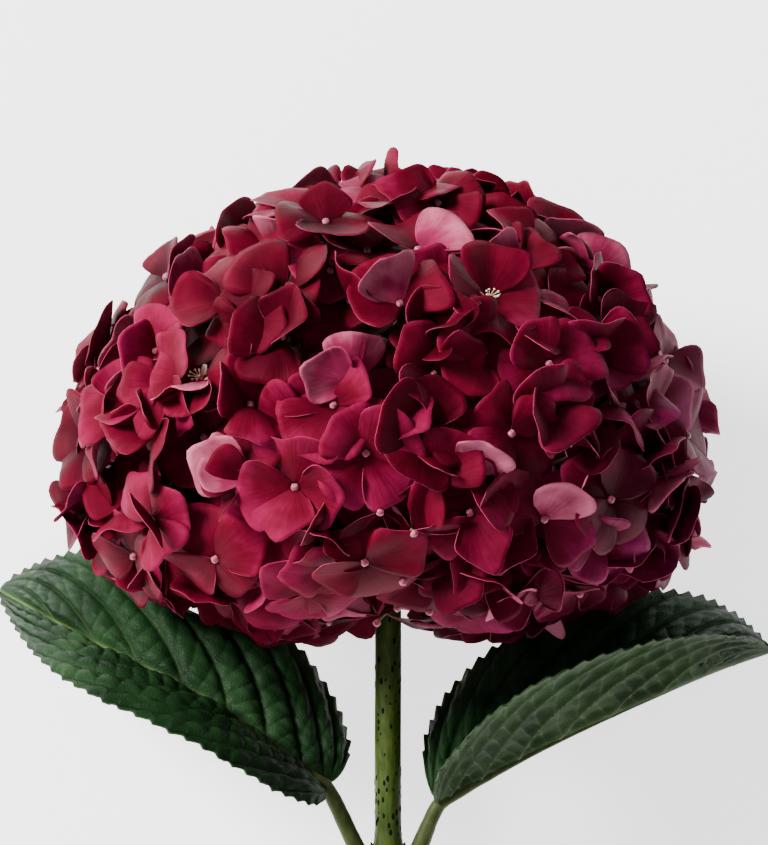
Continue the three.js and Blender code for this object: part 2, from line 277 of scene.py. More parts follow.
def relief(tree, shader, height, depth):
    """A fine grain in the finish, this deep in metres; shapes are in the meshes."""
    bump = add_node(tree, "ShaderNodeBump", {"Height": height, "Strength": 1.0, "Distance": depth})
    tree.links.new(bump.outputs[0], shader.inputs["Normal"])


stem_skin, tree, shader = new_material("stem_skin", Roughness=0.5, Specular_IOR_Level=0.16)
streaks = stretched_noise(tree, (900, 70, 900))
green = colour_ramp(
    tree, streaks,
    (0.3, 0.019, 0.036, 0.003), (0.52, 0.033, 0.056, 0.005), (0.75, 0.055, 0.078, 0.01))
cut = attribute(tree, "in_cut")
pith = colour_ramp(tree, cut, (0.5, 0.2, 0.3, 0.09), (0.62, 0.5, 0.56, 0.3), (0.9, 0.78, 0.76, 0.62))
is_cut = maths(tree, "GREATER_THAN", cut, 0.45)
tree.links.new(mix_colours(tree, is_cut, green, pith), shader.inputs["Base Color"])
relief(tree, shader, streaks, 0.00012)

stem_y = np.linspace(-CUT_BELOW_WIDEST, STEM_TOP_Y, STEM_RINGS)[:, None]
stem_turn = np.linspace(0, 2 * math.pi, STEM_SIDES, endpoint=False)[None]
sideways, frontways = np.sin(stem_turn), np.cos(stem_turn)


def swelling(centre, half):
    """One at a swelling's middle level, falling to nothing at its ends."""
    return smooth_step(0, 1, 1 - np.abs(stem_y - centre) / half)


ribs = RIBBING * np.cos(RIBS * stem_turn + 0.01 * stem_y)
waver = RIBBING * np.sin(stem_y / 9 + stem_turn)
stem_r = STEM_RADIUS * (1 + ribs + waver)
node_swelling = swelling(NODE_Y, NODE_HALF) * (0.5 + 0.5 * np.abs(sideways))
stem_r = stem_r + (NODE_RADIUS - STEM_RADIUS) * node_swelling
scar_swelling = swelling(SCAR_Y, SCAR_HALF) * (0.6 + 0.4 * np.abs(frontways))
stem_r = stem_r + (SCAR_RADIUS - STEM_RADIUS) * scar_swelling
scar_y = SCAR_Y + 1.5 + 2.2 * (1 - np.abs(frontways))
stem_r = stem_r + SCAR_LIP * np.exp(-(((stem_y - scar_y) / 0.7) ** 2)) * np.abs(frontways)
stem_r = stem_r * np.clip((STEM_TOP_Y + 3 - stem_y) / 8, 0.3, 1) ** 0.5
slant = CUT_SLANT / 2 / STEM_RADIUS * np.clip(1 - (stem_y + CUT_BELOW_WIDEST) / 12, 0, 1)
stem_rows = np.stack([stem_r * sideways, stem_y + slant * stem_r * frontways, stem_r * frontways], -1)
cut_face = stem_rows[0] - [0, -CUT_BELOW_WIDEST, 0]
pith_rows = [cut_face * k + [0, PITH_SINK * (1 - k) - CUT_BELOW_WIDEST, 0] for k in PITH_RINGS]
stem_rows = np.concatenate([pith_rows, stem_rows])
stem_ends = [[0, PITH_SINK - CUT_BELOW_WIDEST, 0], [0, STEM_TOP_Y + 1.5, 0]]
stem_points = np.concatenate([stem_rows.reshape(-1, 3), stem_ends])
first_end, top_row = len(stem_points) - 2, len(stem_points) - 2 - STEM_SIDES
stem_faces = grid_faces(len(stem_rows), STEM_SIDES, closed=True)[:, ::-1].tolist()
stem_faces += [(first_end, (k + 1) % STEM_SIDES, k) for k in range(STEM_SIDES)]
stem_faces += [(first_end + 1, top_row + k, top_row + (k + 1) % STEM_SIDES) for k in range(STEM_SIDES)]
stem = new_object("flower_stem", laid(stem_points), stem_faces, [stem_skin])
in_cut = np.zeros(len(stem_points))
for row, k in enumerate(PITH_RINGS):
    in_cut[row * STEM_SIDES:(row + 1) * STEM_SIDES] = 1 - k * 0.5
in_cut[first_end] = 1
point_values(stem, "in_cut", in_cut)
hand_over(stem, "stem", "stem")

# ------------------------------------------------------------------ breathing pores
# The stem's skin is peppered with dark, slightly raised pores, longer than they are wide and
# closer together low down. One small blister is repeated over the skin.
PORE_LENGTH = 2.0
PORE_WIDTH = 0.95
PORE_HEIGHT = 0.16
PORE_GAP = 1.3  # from one pore's middle to the next, at least
PORE_VARIES = (0.45, 1.15)  # the smallest and largest, as shares of these sizes
PORES_TO_THE_SQUARE_METRE = 120000.0
PORES_THIN_OUT = (-70, -45)  # between these levels
PORES_AT_TOP = 0.45  # the share that is left above them
FIRST_PORE_ROW = 6
BARE_TOP_ROWS = 40


def new_tree(name, **inputs):
    """A geometry tree with named inputs besides its geometry, and each input's output socket."""
    tree = bpy.data.node_groups.new(name, "GeometryNodeTree")
    tree.interface.new_socket("Geometry", in_out="INPUT", socket_type="NodeSocketGeometry")
    tree.interface.new_socket("Geometry", in_out="OUTPUT", socket_type="NodeSocketGeometry")
    for label, kind in inputs.items():
        tree.interface.new_socket(label, in_out="INPUT", socket_type="NodeSocket" + kind)
    given = add_node(tree, "NodeGroupInput")
    return tree, [socket for socket in given.outputs if socket.name]


def point_field(tree, name, kind="FLOAT"):
    """What the mesh carries under this name, for a geometry tree."""
    node = add_node(tree, "GeometryNodeInputNamedAttribute", {"Name": name}, data_type=kind)
    return node.outputs[0]


def scaled(tree, vector, factor):
    inputs = {0: vector, "Scale": factor}
    return add_node(tree, "ShaderNodeVectorMath", inputs, operation="SCALE").outputs[0]


def close_tree(tree, geometry, material, rounded=True):
    """Ends a tree with smooth faces where it is rounded, real geometry and a material."""
    smooth = add_node(tree, "GeometryNodeSetShadeSmooth", {0: geometry, "Shade Smooth": rounded}).outputs[0]
    real = add_node(tree, "GeometryNodeRealizeInstances", {0: smooth}).outputs[0]
    done = add_node(tree, "GeometryNodeSetMaterial", {0: real, "Material": material}).outputs[0]
    add_node(tree, "NodeGroupOutput", {0: done})


def grow(piece, tree, **values):
    """Makes the piece's mesh the plain mesh that a geometry tree gives it with these inputs."""
    modifier = piece.modifiers.new(tree.name, "NODES")
    modifier.node_group = tree
    keys = {item.name: item.identifier for item in tree.interface.items_tree if item.in_out == "INPUT"}
    for label, value in values.items():
        modifier[keys[label]] = value
    depsgraph = bpy.context.evaluated_depsgraph_get()
    mesh = bpy.data.meshes.new_from_object(
        piece.evaluated_get(depsgraph), preserve_all_data_layers=True, depsgraph=depsgraph)
    piece.modifiers.remove(modifier)
    piece.data = mesh
    return piece


pore_crust, tree, shader = new_material("pore_crust", Roughness=0.8, Specular_IOR_Level=0.02)
crumbs = stretched_noise(tree, (2500, 2500, 2500))
crust = colour_ramp(tree, crumbs, (0.3, 0.002, 0.003, 0.002), (0.7, 0.009, 0.008, 0.004))
tree.links.new(crust, shader.inputs["Base Color"])

tree, (skin, density, size, seed, finish) = new_tree(
    "pores", Density="Float", Size="Vector", Seed="Int", Material="Material")
ball = add_node(tree, "GeometryNodeMeshUVSphere", {"Segments": 8, "Rings": 5, "Radius": 1.0})
spots = add_node(tree, "GeometryNodeDistributePointsOnFaces", {
    "Mesh": skin, "Distance Min": PORE_GAP / 1000, "Density Max": density,
    "Density Factor": point_field(tree, "peppered"), "Seed": seed}, distribute_method="POISSON")
along = add_node(tree, "FunctionNodeInputVector", vector=tuple(map(float, up_stem)))
turned = add_node(tree, "FunctionNodeAxesToRotation", {
    "Primary Axis": spots.outputs["Normal"], "Secondary Axis": along.outputs[0]},
    primary_axis="Z", secondary_axis="Y")
varied = add_node(tree, "FunctionNodeRandomValue", {
    2: PORE_VARIES[0], 3: PORE_VARIES[1], "Seed": 4}, data_type="FLOAT").outputs[1]
blisters = add_node(tree, "GeometryNodeInstanceOnPoints", {
    "Points": spots.outputs["Points"], "Instance": ball.outputs[0],
    "Rotation": turned.outputs[0], "Scale": scaled(tree, size, varied)})
close_tree(tree, blisters.outputs[0], finish)

pore_grid = stem_rows[len(PITH_RINGS) + FIRST_PORE_ROW:len(stem_rows) - BARE_TOP_ROWS]
pore_faces = grid_faces(len(pore_grid), STEM_SIDES, closed=True)[:, ::-1]
pores = new_object("stem_pores", laid(pore_grid.reshape(-1, 3)), pore_faces, [])
peppered = mix(1.0, PORES_AT_TOP, smooth_step(*PORES_THIN_OUT, pore_grid[..., 1]))
point_values(pores, "peppered", peppered)
grow(pores, tree, Density=PORES_TO_THE_SQUARE_METRE, Seed=7, Material=pore_crust,
     Size=(PORE_WIDTH / 2000, PORE_LENGTH / 2000, PORE_HEIGHT / 1000))
hand_over(pores, "stem")

# ------------------------------------------------------------------ the leaves
# Two opposite leaves, each folded along its midrib, with a toothed edge and a blade that puffs up
# between sunken veins. They arch out under the head, droop, and rest their tips on the surface.
HEAD_RADIUS = 97.0
HEAD_RISE = 91.0  # the head's widest level to its crown
CROWN_FULLNESS = 2.15  # the power of the outline's curve: 2 is an ellipse
SKIRT_FULLNESS = 2.4
LEAF_HALF_WIDTH = 39.0
LEAF_CLEARANCE = 3.0
LEAF_THICKNESS = 0.5
TEETH = 30
TOOTH_DEPTH = 2.0
VEIN_PAIRS = 8.4
VEIN_SWEEP = 0.42  # how far along the midrib a vein runs on its way to the edge
RUNGS = 9.0  # small veins across between two veins
VEIN_PUFF = 1.6
RUNG_PUFF = 0.65
WRINKLE = 0.5
EDGE_DROOP = 0.22  # how far the blade curls down towards its edge, in radians
EDGE_WAVE = 1.1
GUTTER = 3.0  # how far the fold is rounded on each side of the midrib
BLADE_ROWS = 280
BLADE_COLUMNS = 144
LEAVES = {
    "leaf_left": dict(
        midrib=[(-19, 26, 3), (-52, 50, 2), (-90, 68, -14), (-124, 81, -76)],
        fold_far=(50, 8), fold_near=(84, 72), vein_lean=(-30, 26)),
    "leaf_right": dict(
        midrib=[(15, 21, 3), (47, 38, 1), (88, 55, -14), (122, 62, -74)],
        fold_far=(36, 12), fold_near=(122, 130), vein_lean=(-14, 26)),
}


def outline_scale(points, inset):
    """What to multiply points by to bring them onto the head's outline, drawn in by inset."""
    crown = points[..., 1] > 0
    high = np.where(crown, HEAD_RISE, HEAD_DROP) - inset
    power = np.where(crown, CROWN_FULLNESS, SKIRT_FULLNESS)
    across = np.hypot(points[..., 0], points[..., 2]) / (HEAD_RADIUS - inset)
    return (across ** power + (np.abs(points[..., 1]) / high) ** power) ** (-1 / power)


def curve_at(points, t):
    """Places along a centripetal Catmull-Rom curve; each span takes an equal share of t."""
    points = np.asarray(points, float)
    padded = np.vstack([2 * points[0] - points[1], points, 2 * points[-1] - points[-2]])
    place = np.clip(t, 0, 1) * (len(points) - 1)
    span = np.minimum(place.astype(int), len(points) - 2)
    p0, p1, p2, p3 = (padded[span + k] for k in range(4))
    pairs = ((p0, p1), (p1, p2), (p2, p3))
    d1, d2, d3 = (np.linalg.norm(b - a, axis=-1, keepdims=True) ** 0.5 for a, b in pairs)
    leave = d2 * ((p1 - p0) / d1 - (p2 - p0) / (d1 + d2) + (p2 - p1) / d2)
    arrive = d2 * ((p2 - p1) / d2 - (p3 - p1) / (d2 + d3) + (p3 - p2) / d3)
    u = (place - span)[..., None]
    return ((2 * u ** 3 - 3 * u ** 2 + 1) * p1 + (u ** 3 - 2 * u ** 2 + u) * leave
            + (3 * u ** 2 - 2 * u ** 3) * p2 + (u ** 3 - u ** 2) * arrive)


def leaf_surface(leaf):
    """The blade's middle surface, its upward normals, and where each point is on it."""
    t = np.linspace(0.003, 0.998, BLADE_ROWS)
    w = np.linspace(-1, 1, BLADE_COLUMNS + 1)
    w = np.sign(w) * np.abs(w) ** 1.15
    T, W = np.meshgrid(t, w, indexing="ij")
    path = np.add(leaf["midrib"], (0, NODE_Y, 0))
    midrib = curve_at(path, t)
    along = unit(curve_at(path, t + 0.002) - curve_at(path, t - 0.002))
    flat = unit(along * [1, 1, 0])
    across = np.stack([-flat[:, 1], flat[:, 0], 0 * t], -1) * np.sign(flat[:, :1])
    blade = np.sin(math.pi * t ** 0.78) ** 0.72 * (1 - 0.18 * t ** 3)
    tooth = (T * TEETH) % 1
    tooth = np.where(tooth < 0.78, tooth / 0.78, (1 - tooth) / 0.22) ** 1.2
    fade = smooth_step(0.03, 0.08, T) * smooth_step(1.0, 0.96, T)
    teeth = np.sign(W) * TOOTH_DEPTH * tooth * fade * np.abs(W) ** 14
    d = W * (LEAF_HALF_WIDTH * blade)[:, None] + teeth
    far = np.radians(mix(*leaf["fold_far"], T))
    near = np.radians(mix(*leaf["fold_near"], T))
    bend = EDGE_DROOP * np.abs(W) ** 1.5
    angle = mix(near - bend, far + bend, smooth_step(-GUTTER, GUTTER, d))
    turned = np.stack([np.cos(angle), -np.sin(angle)], -1)
    steps = (turned[:, 1:] + turned[:, :-1]) / 2 * np.diff(d, axis=1)[..., None]
    run = np.concatenate([np.zeros((len(t), 1, 2)), np.cumsum(steps, 1)], 1)
    run -= run[:, BLADE_COLUMNS // 2][:, None]
    lean = np.radians(mix(*leaf["vein_lean"], T))[..., None]
    outwards = run[..., :1] * across[:, None] + run[..., 1:] * [0, 0, 1]
    p = midrib[:, None] + outwards * np.cos(lean) + along[:, None] * np.sin(lean) * np.abs(d)[..., None]
    towards = np.sin(angle)[..., None] * across[:, None] + np.cos(angle)[..., None] * [0, 0, 1]
    return T, W, d, p, towards


def give_way(p, lift):
    """A leaf gives way to the head above it and lies on the surface below it."""
    p = p * np.maximum(outline_scale(p, -LEAF_CLEARANCE), 1)[..., None]
    height = height_of(p) - lift
    rest = (height + np.sqrt(height ** 2 + 1.5)) / 2
    return p + (rest - height)[..., None] * floor_normal


def surface_normals(p, towards):
    n = unit(np.cross(np.gradient(p, axis=0), np.gradient(p, axis=1)))
    return n * np.sign((n * towards).sum(-1, keepdims=True).mean())


def vein_relief(T, W, d):
    """How far the blade puffs up between its veins, and how near each point is to them."""
    a = np.abs(W)
    side = np.where(W > 0, 0.0, 0.4)
    # A vein through this point leaves the midrib at start.
    start = T - VEIN_SWEEP * (0.62 * a + 0.38 * a ** 2)
    phase = VEIN_PAIRS * (start + VEIN_SWEEP) + side
    f = phase % 1
    to_vein = np.minimum(f, 1 - f)
    row = np.floor(phase)
    rung = (a + 0.32 * f) * RUNGS + 0.5 * np.sin(row * 2.4 + 5 * a) + 0.37 * row
    g = rung % 1
    to_rung = np.minimum(g, 1 - g)
    inside = np.sin(math.pi * f) ** 0.7
    hem = 1 - 0.8 * a ** 7
    ends = smooth_step(0.0, 0.1, T) * smooth_step(1.0, 0.82, T)
    open_blade = smooth_step(0, 4, np.abs(d)) * hem * ends
    wrinkle = 0.5 + 0.5 * np.sin(57 * T + 13 * W) * np.sin(43 * W - 29 * T)
    cushion = np.sin(math.pi * g) ** 0.6 * np.minimum(inside * 1.4, 1)
    puff = (VEIN_PUFF * inside + RUNG_PUFF * cushion + WRINKLE * wrinkle * inside) * open_blade
    # The blade sinks in a groove along the midrib; this is shape only.
    groove_and_shade = 0.5 * np.exp(-((d / 0.9) ** 2))
    midrib = np.exp(-((d / 0.75) ** 2))
    main = np.exp(-((to_vein / 0.035) ** 2)) * (1 - 0.4 * a)
    rungs = 0.55 * np.exp(-((to_rung / 0.05) ** 2)) * (1 - 0.5 * a)
    return puff - groove_and_shade, midrib, np.maximum(main, midrib), np.maximum(np.maximum(main, rungs), midrib)


def leaf_material(name, dark, middle, light, vein, roughness, shine):
    material, tree, shader = new_material(name, Roughness=roughness, Specular_IOR_Level=shine)
    patches = stretched_noise(tree, (60, 60, 60), 4.0)
    green = colour_ramp(tree, patches, (0.32, *dark), (0.5, *middle), (0.7, *light))
    # Painted shade: along the small sunken veins the green is darkened, standing in for the shade that
    # falls in their grooves.
    green = mix_colours(tree, attribute(tree, "groove_and_shade"), green, (*(0.45 * c for c in dark), 1))
    green = mix_colours(tree, attribute(tree, "vein"), green, (*vein, 1))
    tree.links.new(green, shader.inputs["Base Color"])
    here = add_node(tree, "ShaderNodeTexCoord").outputs["Object"]
    cells = add_node(
        tree, "ShaderNodeTexVoronoi", {"Vector": here, "Scale": 900.0}, feature="DISTANCE_TO_EDGE")
    relief(tree, shader, cells.outputs["Distance"], 0.00022)
    return material


leaf_face = leaf_material(
    "leaf_face", dark=(0.005, 0.016, 0.005), middle=(0.009, 0.027, 0.009),
    light=(0.016, 0.042, 0.014), vein=(0.07, 0.13, 0.035), roughness=0.42, shine=0.035)
leaf_back = leaf_material(
    "leaf_back", dark=(0.013, 0.03, 0.008), middle=(0.021, 0.047, 0.013),
    light=(0.03, 0.062, 0.018), vein=(0.06, 0.095, 0.032), roughness=0.62, shine=0.15)


def closed_sheet(name, top, bottom, materials):
    """A thin closed shell between two grids, with the first material on top and the second below."""
    rows, columns = top.shape[:2]
    faces = grid_faces(rows, columns)
    on_top, count = len(faces), rows * columns
    index = np.arange(count).reshape(rows, columns)
    rim = np.concatenate([index[0, :-1], index[:-1, -1], index[-1, :0:-1], index[:0:-1, 0]])
    walls = np.stack([rim, np.roll(rim, -1), np.roll(rim, -1) + count, rim + count], -1)
    faces = np.concatenate([faces, faces[:, ::-1] + count, walls[:, ::-1]])
    points = np.concatenate([top.reshape(-1, 3), bottom.reshape(-1, 3)])
    sheet = new_object(name, laid(points), faces, materials)
    second = (np.arange(len(faces)) >= on_top).astype(np.int32)
    sheet.data.polygons.foreach_set("material_index", second)
    return sheet


leaf_ribs = {}
for node, leaf in LEAVES.items():
    T, W, d, flat_blade, towards = leaf_surface(leaf)
    wave = EDGE_WAVE * np.sin(9 * T + 2 * W) * np.abs(W) ** 3
    flat_blade = flat_blade + towards * wave[..., None]
    blade = give_way(flat_blade, LEAF_THICKNESS)
    normals = surface_normals(blade, towards)
    puff, midrib, main_veins, all_veins = vein_relief(T, W, d)
    blade = blade + normals * puff[..., None]
    above = np.maximum(midrib, 0.3 * main_veins * np.exp(-np.abs(d) / 9))
    # The small veins that are not the lighter main veins carry painted shade on the top face; the back gets
    # none.
    below, ridge, groove_and_shade = 0.95 * all_veins, 0.35 * all_veins, all_veins * (1 - above)
    grid_turn = np.cross(blade[9, 1] - blade[9, 0], blade[10, 0] - blade[9, 0])
    if grid_turn @ normals[9, 0] > 0:
        blade, normals, above, below, ridge, groove_and_shade = (
            grid[::-1] for grid in (blade, normals, above, below, ridge, groove_and_shade))
    top = blade + normals * LEAF_THICKNESS / 2
    bottom = blade - normals * (LEAF_THICKNESS / 2 + ridge)[..., None]
    sheet = closed_sheet(node + "_blade", top, bottom, [leaf_face, leaf_back])
    point_values(sheet, "vein", np.concatenate([above.ravel(), below.ravel()]))
    point_values(sheet, "groove_and_shade", np.concatenate([groove_and_shade.ravel(), 0 * groove_and_shade.ravel()]))
    hand_over(sheet, "leaves", node)
    leaf_ribs[node] = (flat_blade, normals)

# ------------------------------------------------------------------ leaf stalks and midribs
# A leaf's stalk is thick where it clasps the stem, narrows up to the blade, and runs on under it
# as the raised midrib. Both grow along one path that carries its own thickness.
STALK_AT_STEM = 4.3
STALK_MIDDLE = 2.9
STALK_AT_BLADE = 2.2
RIB_AT_TIP = 0.3
RIB_DEPTH = 0.75  # how far the midrib's middle lies under the blade
CLASP_STEPS = 26


def uneven(tree, scale, seed):
    """Noise of this many features to the metre that differs from piece to piece by its seed."""
    noise = {"Scale": scale, "Detail": 2.0, "W": seed}
    return add_node(tree, "ShaderNodeTexNoise", noise, noise_dimensions="4D").outputs[0]


leaf_stalk_skin, tree, shader = new_material("leaf_stalk_skin", Roughness=0.5, Specular_IOR_Level=0.12)
stalk_streaks = stretched_noise(tree, (400, 120, 400))
stalk_green = colour_ramp(tree, stalk_streaks, (0.3, 0.028, 0.04, 0.009), (0.7, 0.055, 0.07, 0.02))
tree.links.new(stalk_green, shader.inputs["Base Color"])

tree, (paths, sides, seed, finish) = new_tree("twigs", Sides="Int", Seed="Int", Material="Material")
swell = maths(tree, "MULTIPLY_ADD", uneven(tree, 260.0, seed), 0.3, 0.85)
across = maths(tree, "MULTIPLY", point_field(tree, "girth"), swell)
lines = add_node(tree, "GeometryNodeMeshToCurve", {"Mesh": paths}).outputs[0]
ring = add_node(tree, "GeometryNodeCurvePrimitiveCircle", {"Resolution": sides, "Radius": 1.0}).outputs[0]
tubes = add_node(tree, "GeometryNodeCurveToMesh", {
    "Curve": lines, "Profile Curve": ring, "Scale": across, "Fill Caps": True}).outputs[0]
close_tree(tree, tubes, finish)
twig_tree = tree


def twigs(name, paths, finish, sides=8):
    """Tubes along paths in the flower's frame, each a list of points and a list of radii."""
    points = np.concatenate([path for path, _ in paths])
    radii = np.concatenate([np.broadcast_to(radius, len(path)) for path, radius in paths])
    edges, start = [], 0
    for path, _ in paths:
        edges += [(k, k + 1) for k in range(start, start + len(path) - 1)]
        start += len(path)
    piece = new_object(name, laid(points), [], [], edges)
    point_values(piece, "girth", radii / 1000)
    return grow(piece, twig_tree, Sides=sides, Seed=3, Material=finish)


for node, leaf in LEAVES.items():
    blade, normals = leaf_ribs[node]
    middle = BLADE_COLUMNS // 2
    rib = (blade - normals * RIB_DEPTH)[::6, middle]
    foot = np.array([np.sign(rib[0, 0]) * 2.4, NODE_Y - 2, 0.5])
    knee = foot + [np.sign(rib[0, 0]) * 5.5, 6.5, 1.2]
    clasp = curve_at([foot, knee, rib[0], rib[2]], np.linspace(0, 0.66, CLASP_STEPS))
    girths = [STALK_AT_STEM, STALK_MIDDLE, STALK_AT_BLADE]
    clasp_girth = np.interp(np.linspace(0, 1, CLASP_STEPS), [0, 0.35, 1], girths)
    rib_girth = mix(STALK_AT_BLADE, RIB_AT_TIP, np.linspace(0, 1, len(rib)) ** 0.4)
    path = np.vstack([clasp[:-1], rib])
    girth = np.append(clasp_girth[:-1], rib_girth)
    stalk = twigs(node + "_stalk", [(path, girth)], leaf_stalk_skin, sides=14)
    hand_over(stalk, "leaves")

# ------------------------------------------------------------------ buds at the nodes
# A small pointed bud sits between each leaf stalk and the stem, and another above each scar of
# the two leaves that were stripped from the older node. They are green and firm.
NODE_BUD_GIRTH = (0.9, 1.2, 1.26, 1.02, 0.6, 0.15)
NODE_BUD_LENGTH = 4.5
NODE_BUD_LEAN = 1.56  # how far its tip leans away from the stem
NODE_BUD_SINK = 0.4  # how far its foot sits in the stem's skin
AT_LEAVES = NODE_Y + 4
AT_SCARS = SCAR_Y + 5

node_buds = []
for across, front, foot in ((1, 0, AT_LEAVES), (-1, 0, AT_LEAVES), (0, 1, AT_SCARS), (0, -1, AT_SCARS)):
    t = np.linspace(0, 1, len(NODE_BUD_GIRTH))[:, None]
    from_axis = STEM_RADIUS - NODE_BUD_SINK + NODE_BUD_LEAN * t
    path = np.array([across, 0, front]) * from_axis + [0, 1, 0] * (foot + NODE_BUD_LENGTH * t)
    node_buds.append((path, NODE_BUD_GIRTH))
hand_over(twigs("node_buds", node_buds, leaf_stalk_skin, sides=12), "leaves")

# ------------------------------------------------------------------ the florets' sepals
# Each floret is four broad sepals on narrow claws around a bud. They open against each other, so
# each one slides over or under its neighbours: the opening is simulated, then finished as thin
# sheets.
SEPAL_LENGTH = (14.0, 17.6)
SEPAL_SPREAD = (52, 64)  # degrees to each side of its middle line
CLAW_START = 1.0
SHEET_ROWS = 6
SHEET_COLUMNS = 11
# The two outlines that a sepal's lies between, as shares of its length along the columns.
KITE = np.array([0.38, 0.76, 0.83, 0.87, 0.97, 1.1, 0.97, 0.87, 0.83, 0.76, 0.38])
SQUARE = np.array([0.5, 0.9, 1.1, 1.08, 0.96, 0.91, 0.96, 1.08, 1.1, 0.9, 0.5])
NOTCHED_SHARE = 0.3  # of the sepals; the others end in a slight point
RISE = (2, 30)  # how far a sepal stands up from its floret's face, in degrees
INNER_RISE = 7  # and how much more the inner two of the four do
UPRIGHT_SHARE = 0.2  # of the sepals, which stand up this far instead
UPRIGHT_RISE = (40, 105)
ADDED_FLORETS = 206  # the CAD model's clusters hold three florets each, the flower's about seven
TRIED_PLACES = 6000
BESIDE_STEM = 26.0  # no floret is added nearer to the stem's axis than this
OFF_SURFACE = 9.0  # or nearer to the surface that the flower lies on
LEAN = 0.42  # how unevenly the added florets face outwards
HELD_LEAN = 0.6  # the share of it for the florets of the CAD model
NOD = 0.3  # how far florets of the crown and the skirt turn to the front
SEPAL_THICKNESS = 0.18
FLORET_SPOKES = 12
SHORTEST_SPOKE = 2.0
LONGEST_SPOKE = 20.0

grower = np.random.default_rng(5)


def florets_of(node):
    """The eye, axis and four sepal directions of each floret that a CAD cluster holds."""
    corners, triangles = solid_of(node)
    corners = upright(corners)
    found = []
    for eye in np.flatnonzero(np.bincount(triangles.ravel()) == FLORET_SPOKES):
        fan = triangles[(triangles == eye).any(1)]
        after = {}
        for triangle in fan.tolist():
            k = triangle.index(eye)
            after[triangle[(k + 1) % 3]] = triangle[(k + 2) % 3]
        ring = [next(iter(after))]
        while len(ring) < len(after):
            ring.append(after[ring[-1]])
        spokes = corners[ring] - corners[eye]
        lengths = np.linalg.norm(spokes, axis=1)
        if lengths.min() < SHORTEST_SPOKE or lengths.max() > LONGEST_SPOKE:
            continue
        axis = unit(np.cross(spokes, np.roll(spokes, -1, 0)).sum(0))
        cleft = min(range(3), key=lambda k: lengths[k::3].sum())
        directions = np.roll(spokes, -cleft, 0).reshape(4, 3, 3)[:, 1:].sum(1)
        directions = unit(directions - (directions @ axis)[:, None] * axis)
        found.append((corners[eye], axis, directions))
    return found


def outline_normal(points):
    """The way out of the head at places on its outline."""
    high = np.where(points[..., 1:2] > 0, HEAD_RISE, HEAD_DROP)
    wide = 0 * high + HEAD_RADIUS
    return unit(points / np.concatenate([wide, high, wide], -1) ** 2)


def in_the_gaps(eyes, count):
    """Places on the head's outline, each as far as can be from the eyes and from each other."""
    k = np.arange(TRIED_PLACES)
    level = 1 - 2 * (k + 0.5) / len(k)
    turn = k * math.pi * (3 - math.sqrt(5))
    ring = np.sqrt(1 - level ** 2)
    places = np.stack([ring * np.cos(turn), level * 0.75, ring * np.sin(turn)], -1) * HEAD_RADIUS
    places = places * outline_scale(places, 0)[:, None] / outline_scale(eyes, 0).mean()
    beside_stem = (places[:, 1] < 0) & (np.hypot(places[:, 0], places[:, 2]) < BESIDE_STEM)
    places = places[(height_of(places) > OFF_SURFACE) & ~beside_stem]
    nearest = np.linalg.norm(places[:, None] - eyes, axis=-1).min(1)
    chosen = []
    for _ in range(count):
        chosen.append(places[nearest.argmax()])
        nearest = np.minimum(nearest, np.linalg.norm(places - chosen[-1], axis=1))
    return np.array(chosen)


cluster_nodes = sorted(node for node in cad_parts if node.startswith("floret_cluster"))
florets = [(k, *floret) for k, node in enumerate(cluster_nodes) for floret in florets_of(node)]
cluster_of, eyes, axes, directions = (np.array(values) for values in zip(*florets))
added = in_the_gaps(eyes, ADDED_FLORETS)
axes = unit(axes + grower.normal(0, LEAN * HELD_LEAN, axes.shape))
added_axes = unit(outline_normal(added) + grower.normal(0, LEAN, added.shape))
spin = unit(np.cross(added_axes, grower.normal(size=added.shape)))
added_directions = np.stack([spin, np.cross(added_axes, spin), -spin, -np.cross(added_axes, spin)], 1)
nearest_eye = np.linalg.norm(added[:, None] - eyes, axis=-1).argmin(1)
cluster_of = np.append(cluster_of, cluster_of[nearest_eye])
order = np.argsort(cluster_of, kind="stable")
eyes, axes = np.vstack([eyes, added])[order], np.vstack([axes, added_axes])[order]
directions, cluster_of = np.concatenate([directions, added_directions])[order], cluster_of[order]
FLORETS = len(eyes)
SEPALS = FLORETS * 4
below = smooth_step(10, -30, eyes[:, 1])[:, None]
above = smooth_step(20, 60, eyes[:, 1:2])
forward = np.maximum(NOD * below, NOD * above) * smooth_step(-30, 0, eyes[:, 2:])
raised = unit(axes * mix(1.0, np.array([1, 0.2, 1]), below) + [0, 0, 1] * forward)
directions = unit(directions - (directions * raised[:, None]).sum(-1, keepdims=True) * raised[:, None])
directions[:, 1] = np.cross(raised, directions[:, 0])
directions[:, 2], directions[:, 3] = -directions[:, 0], -directions[:, 1]
axes = raised


def spread(low, high, shape=(SEPALS, 1, 1)):
    """A number between low and high for each sepal."""
    return grower.uniform(low, high, shape)


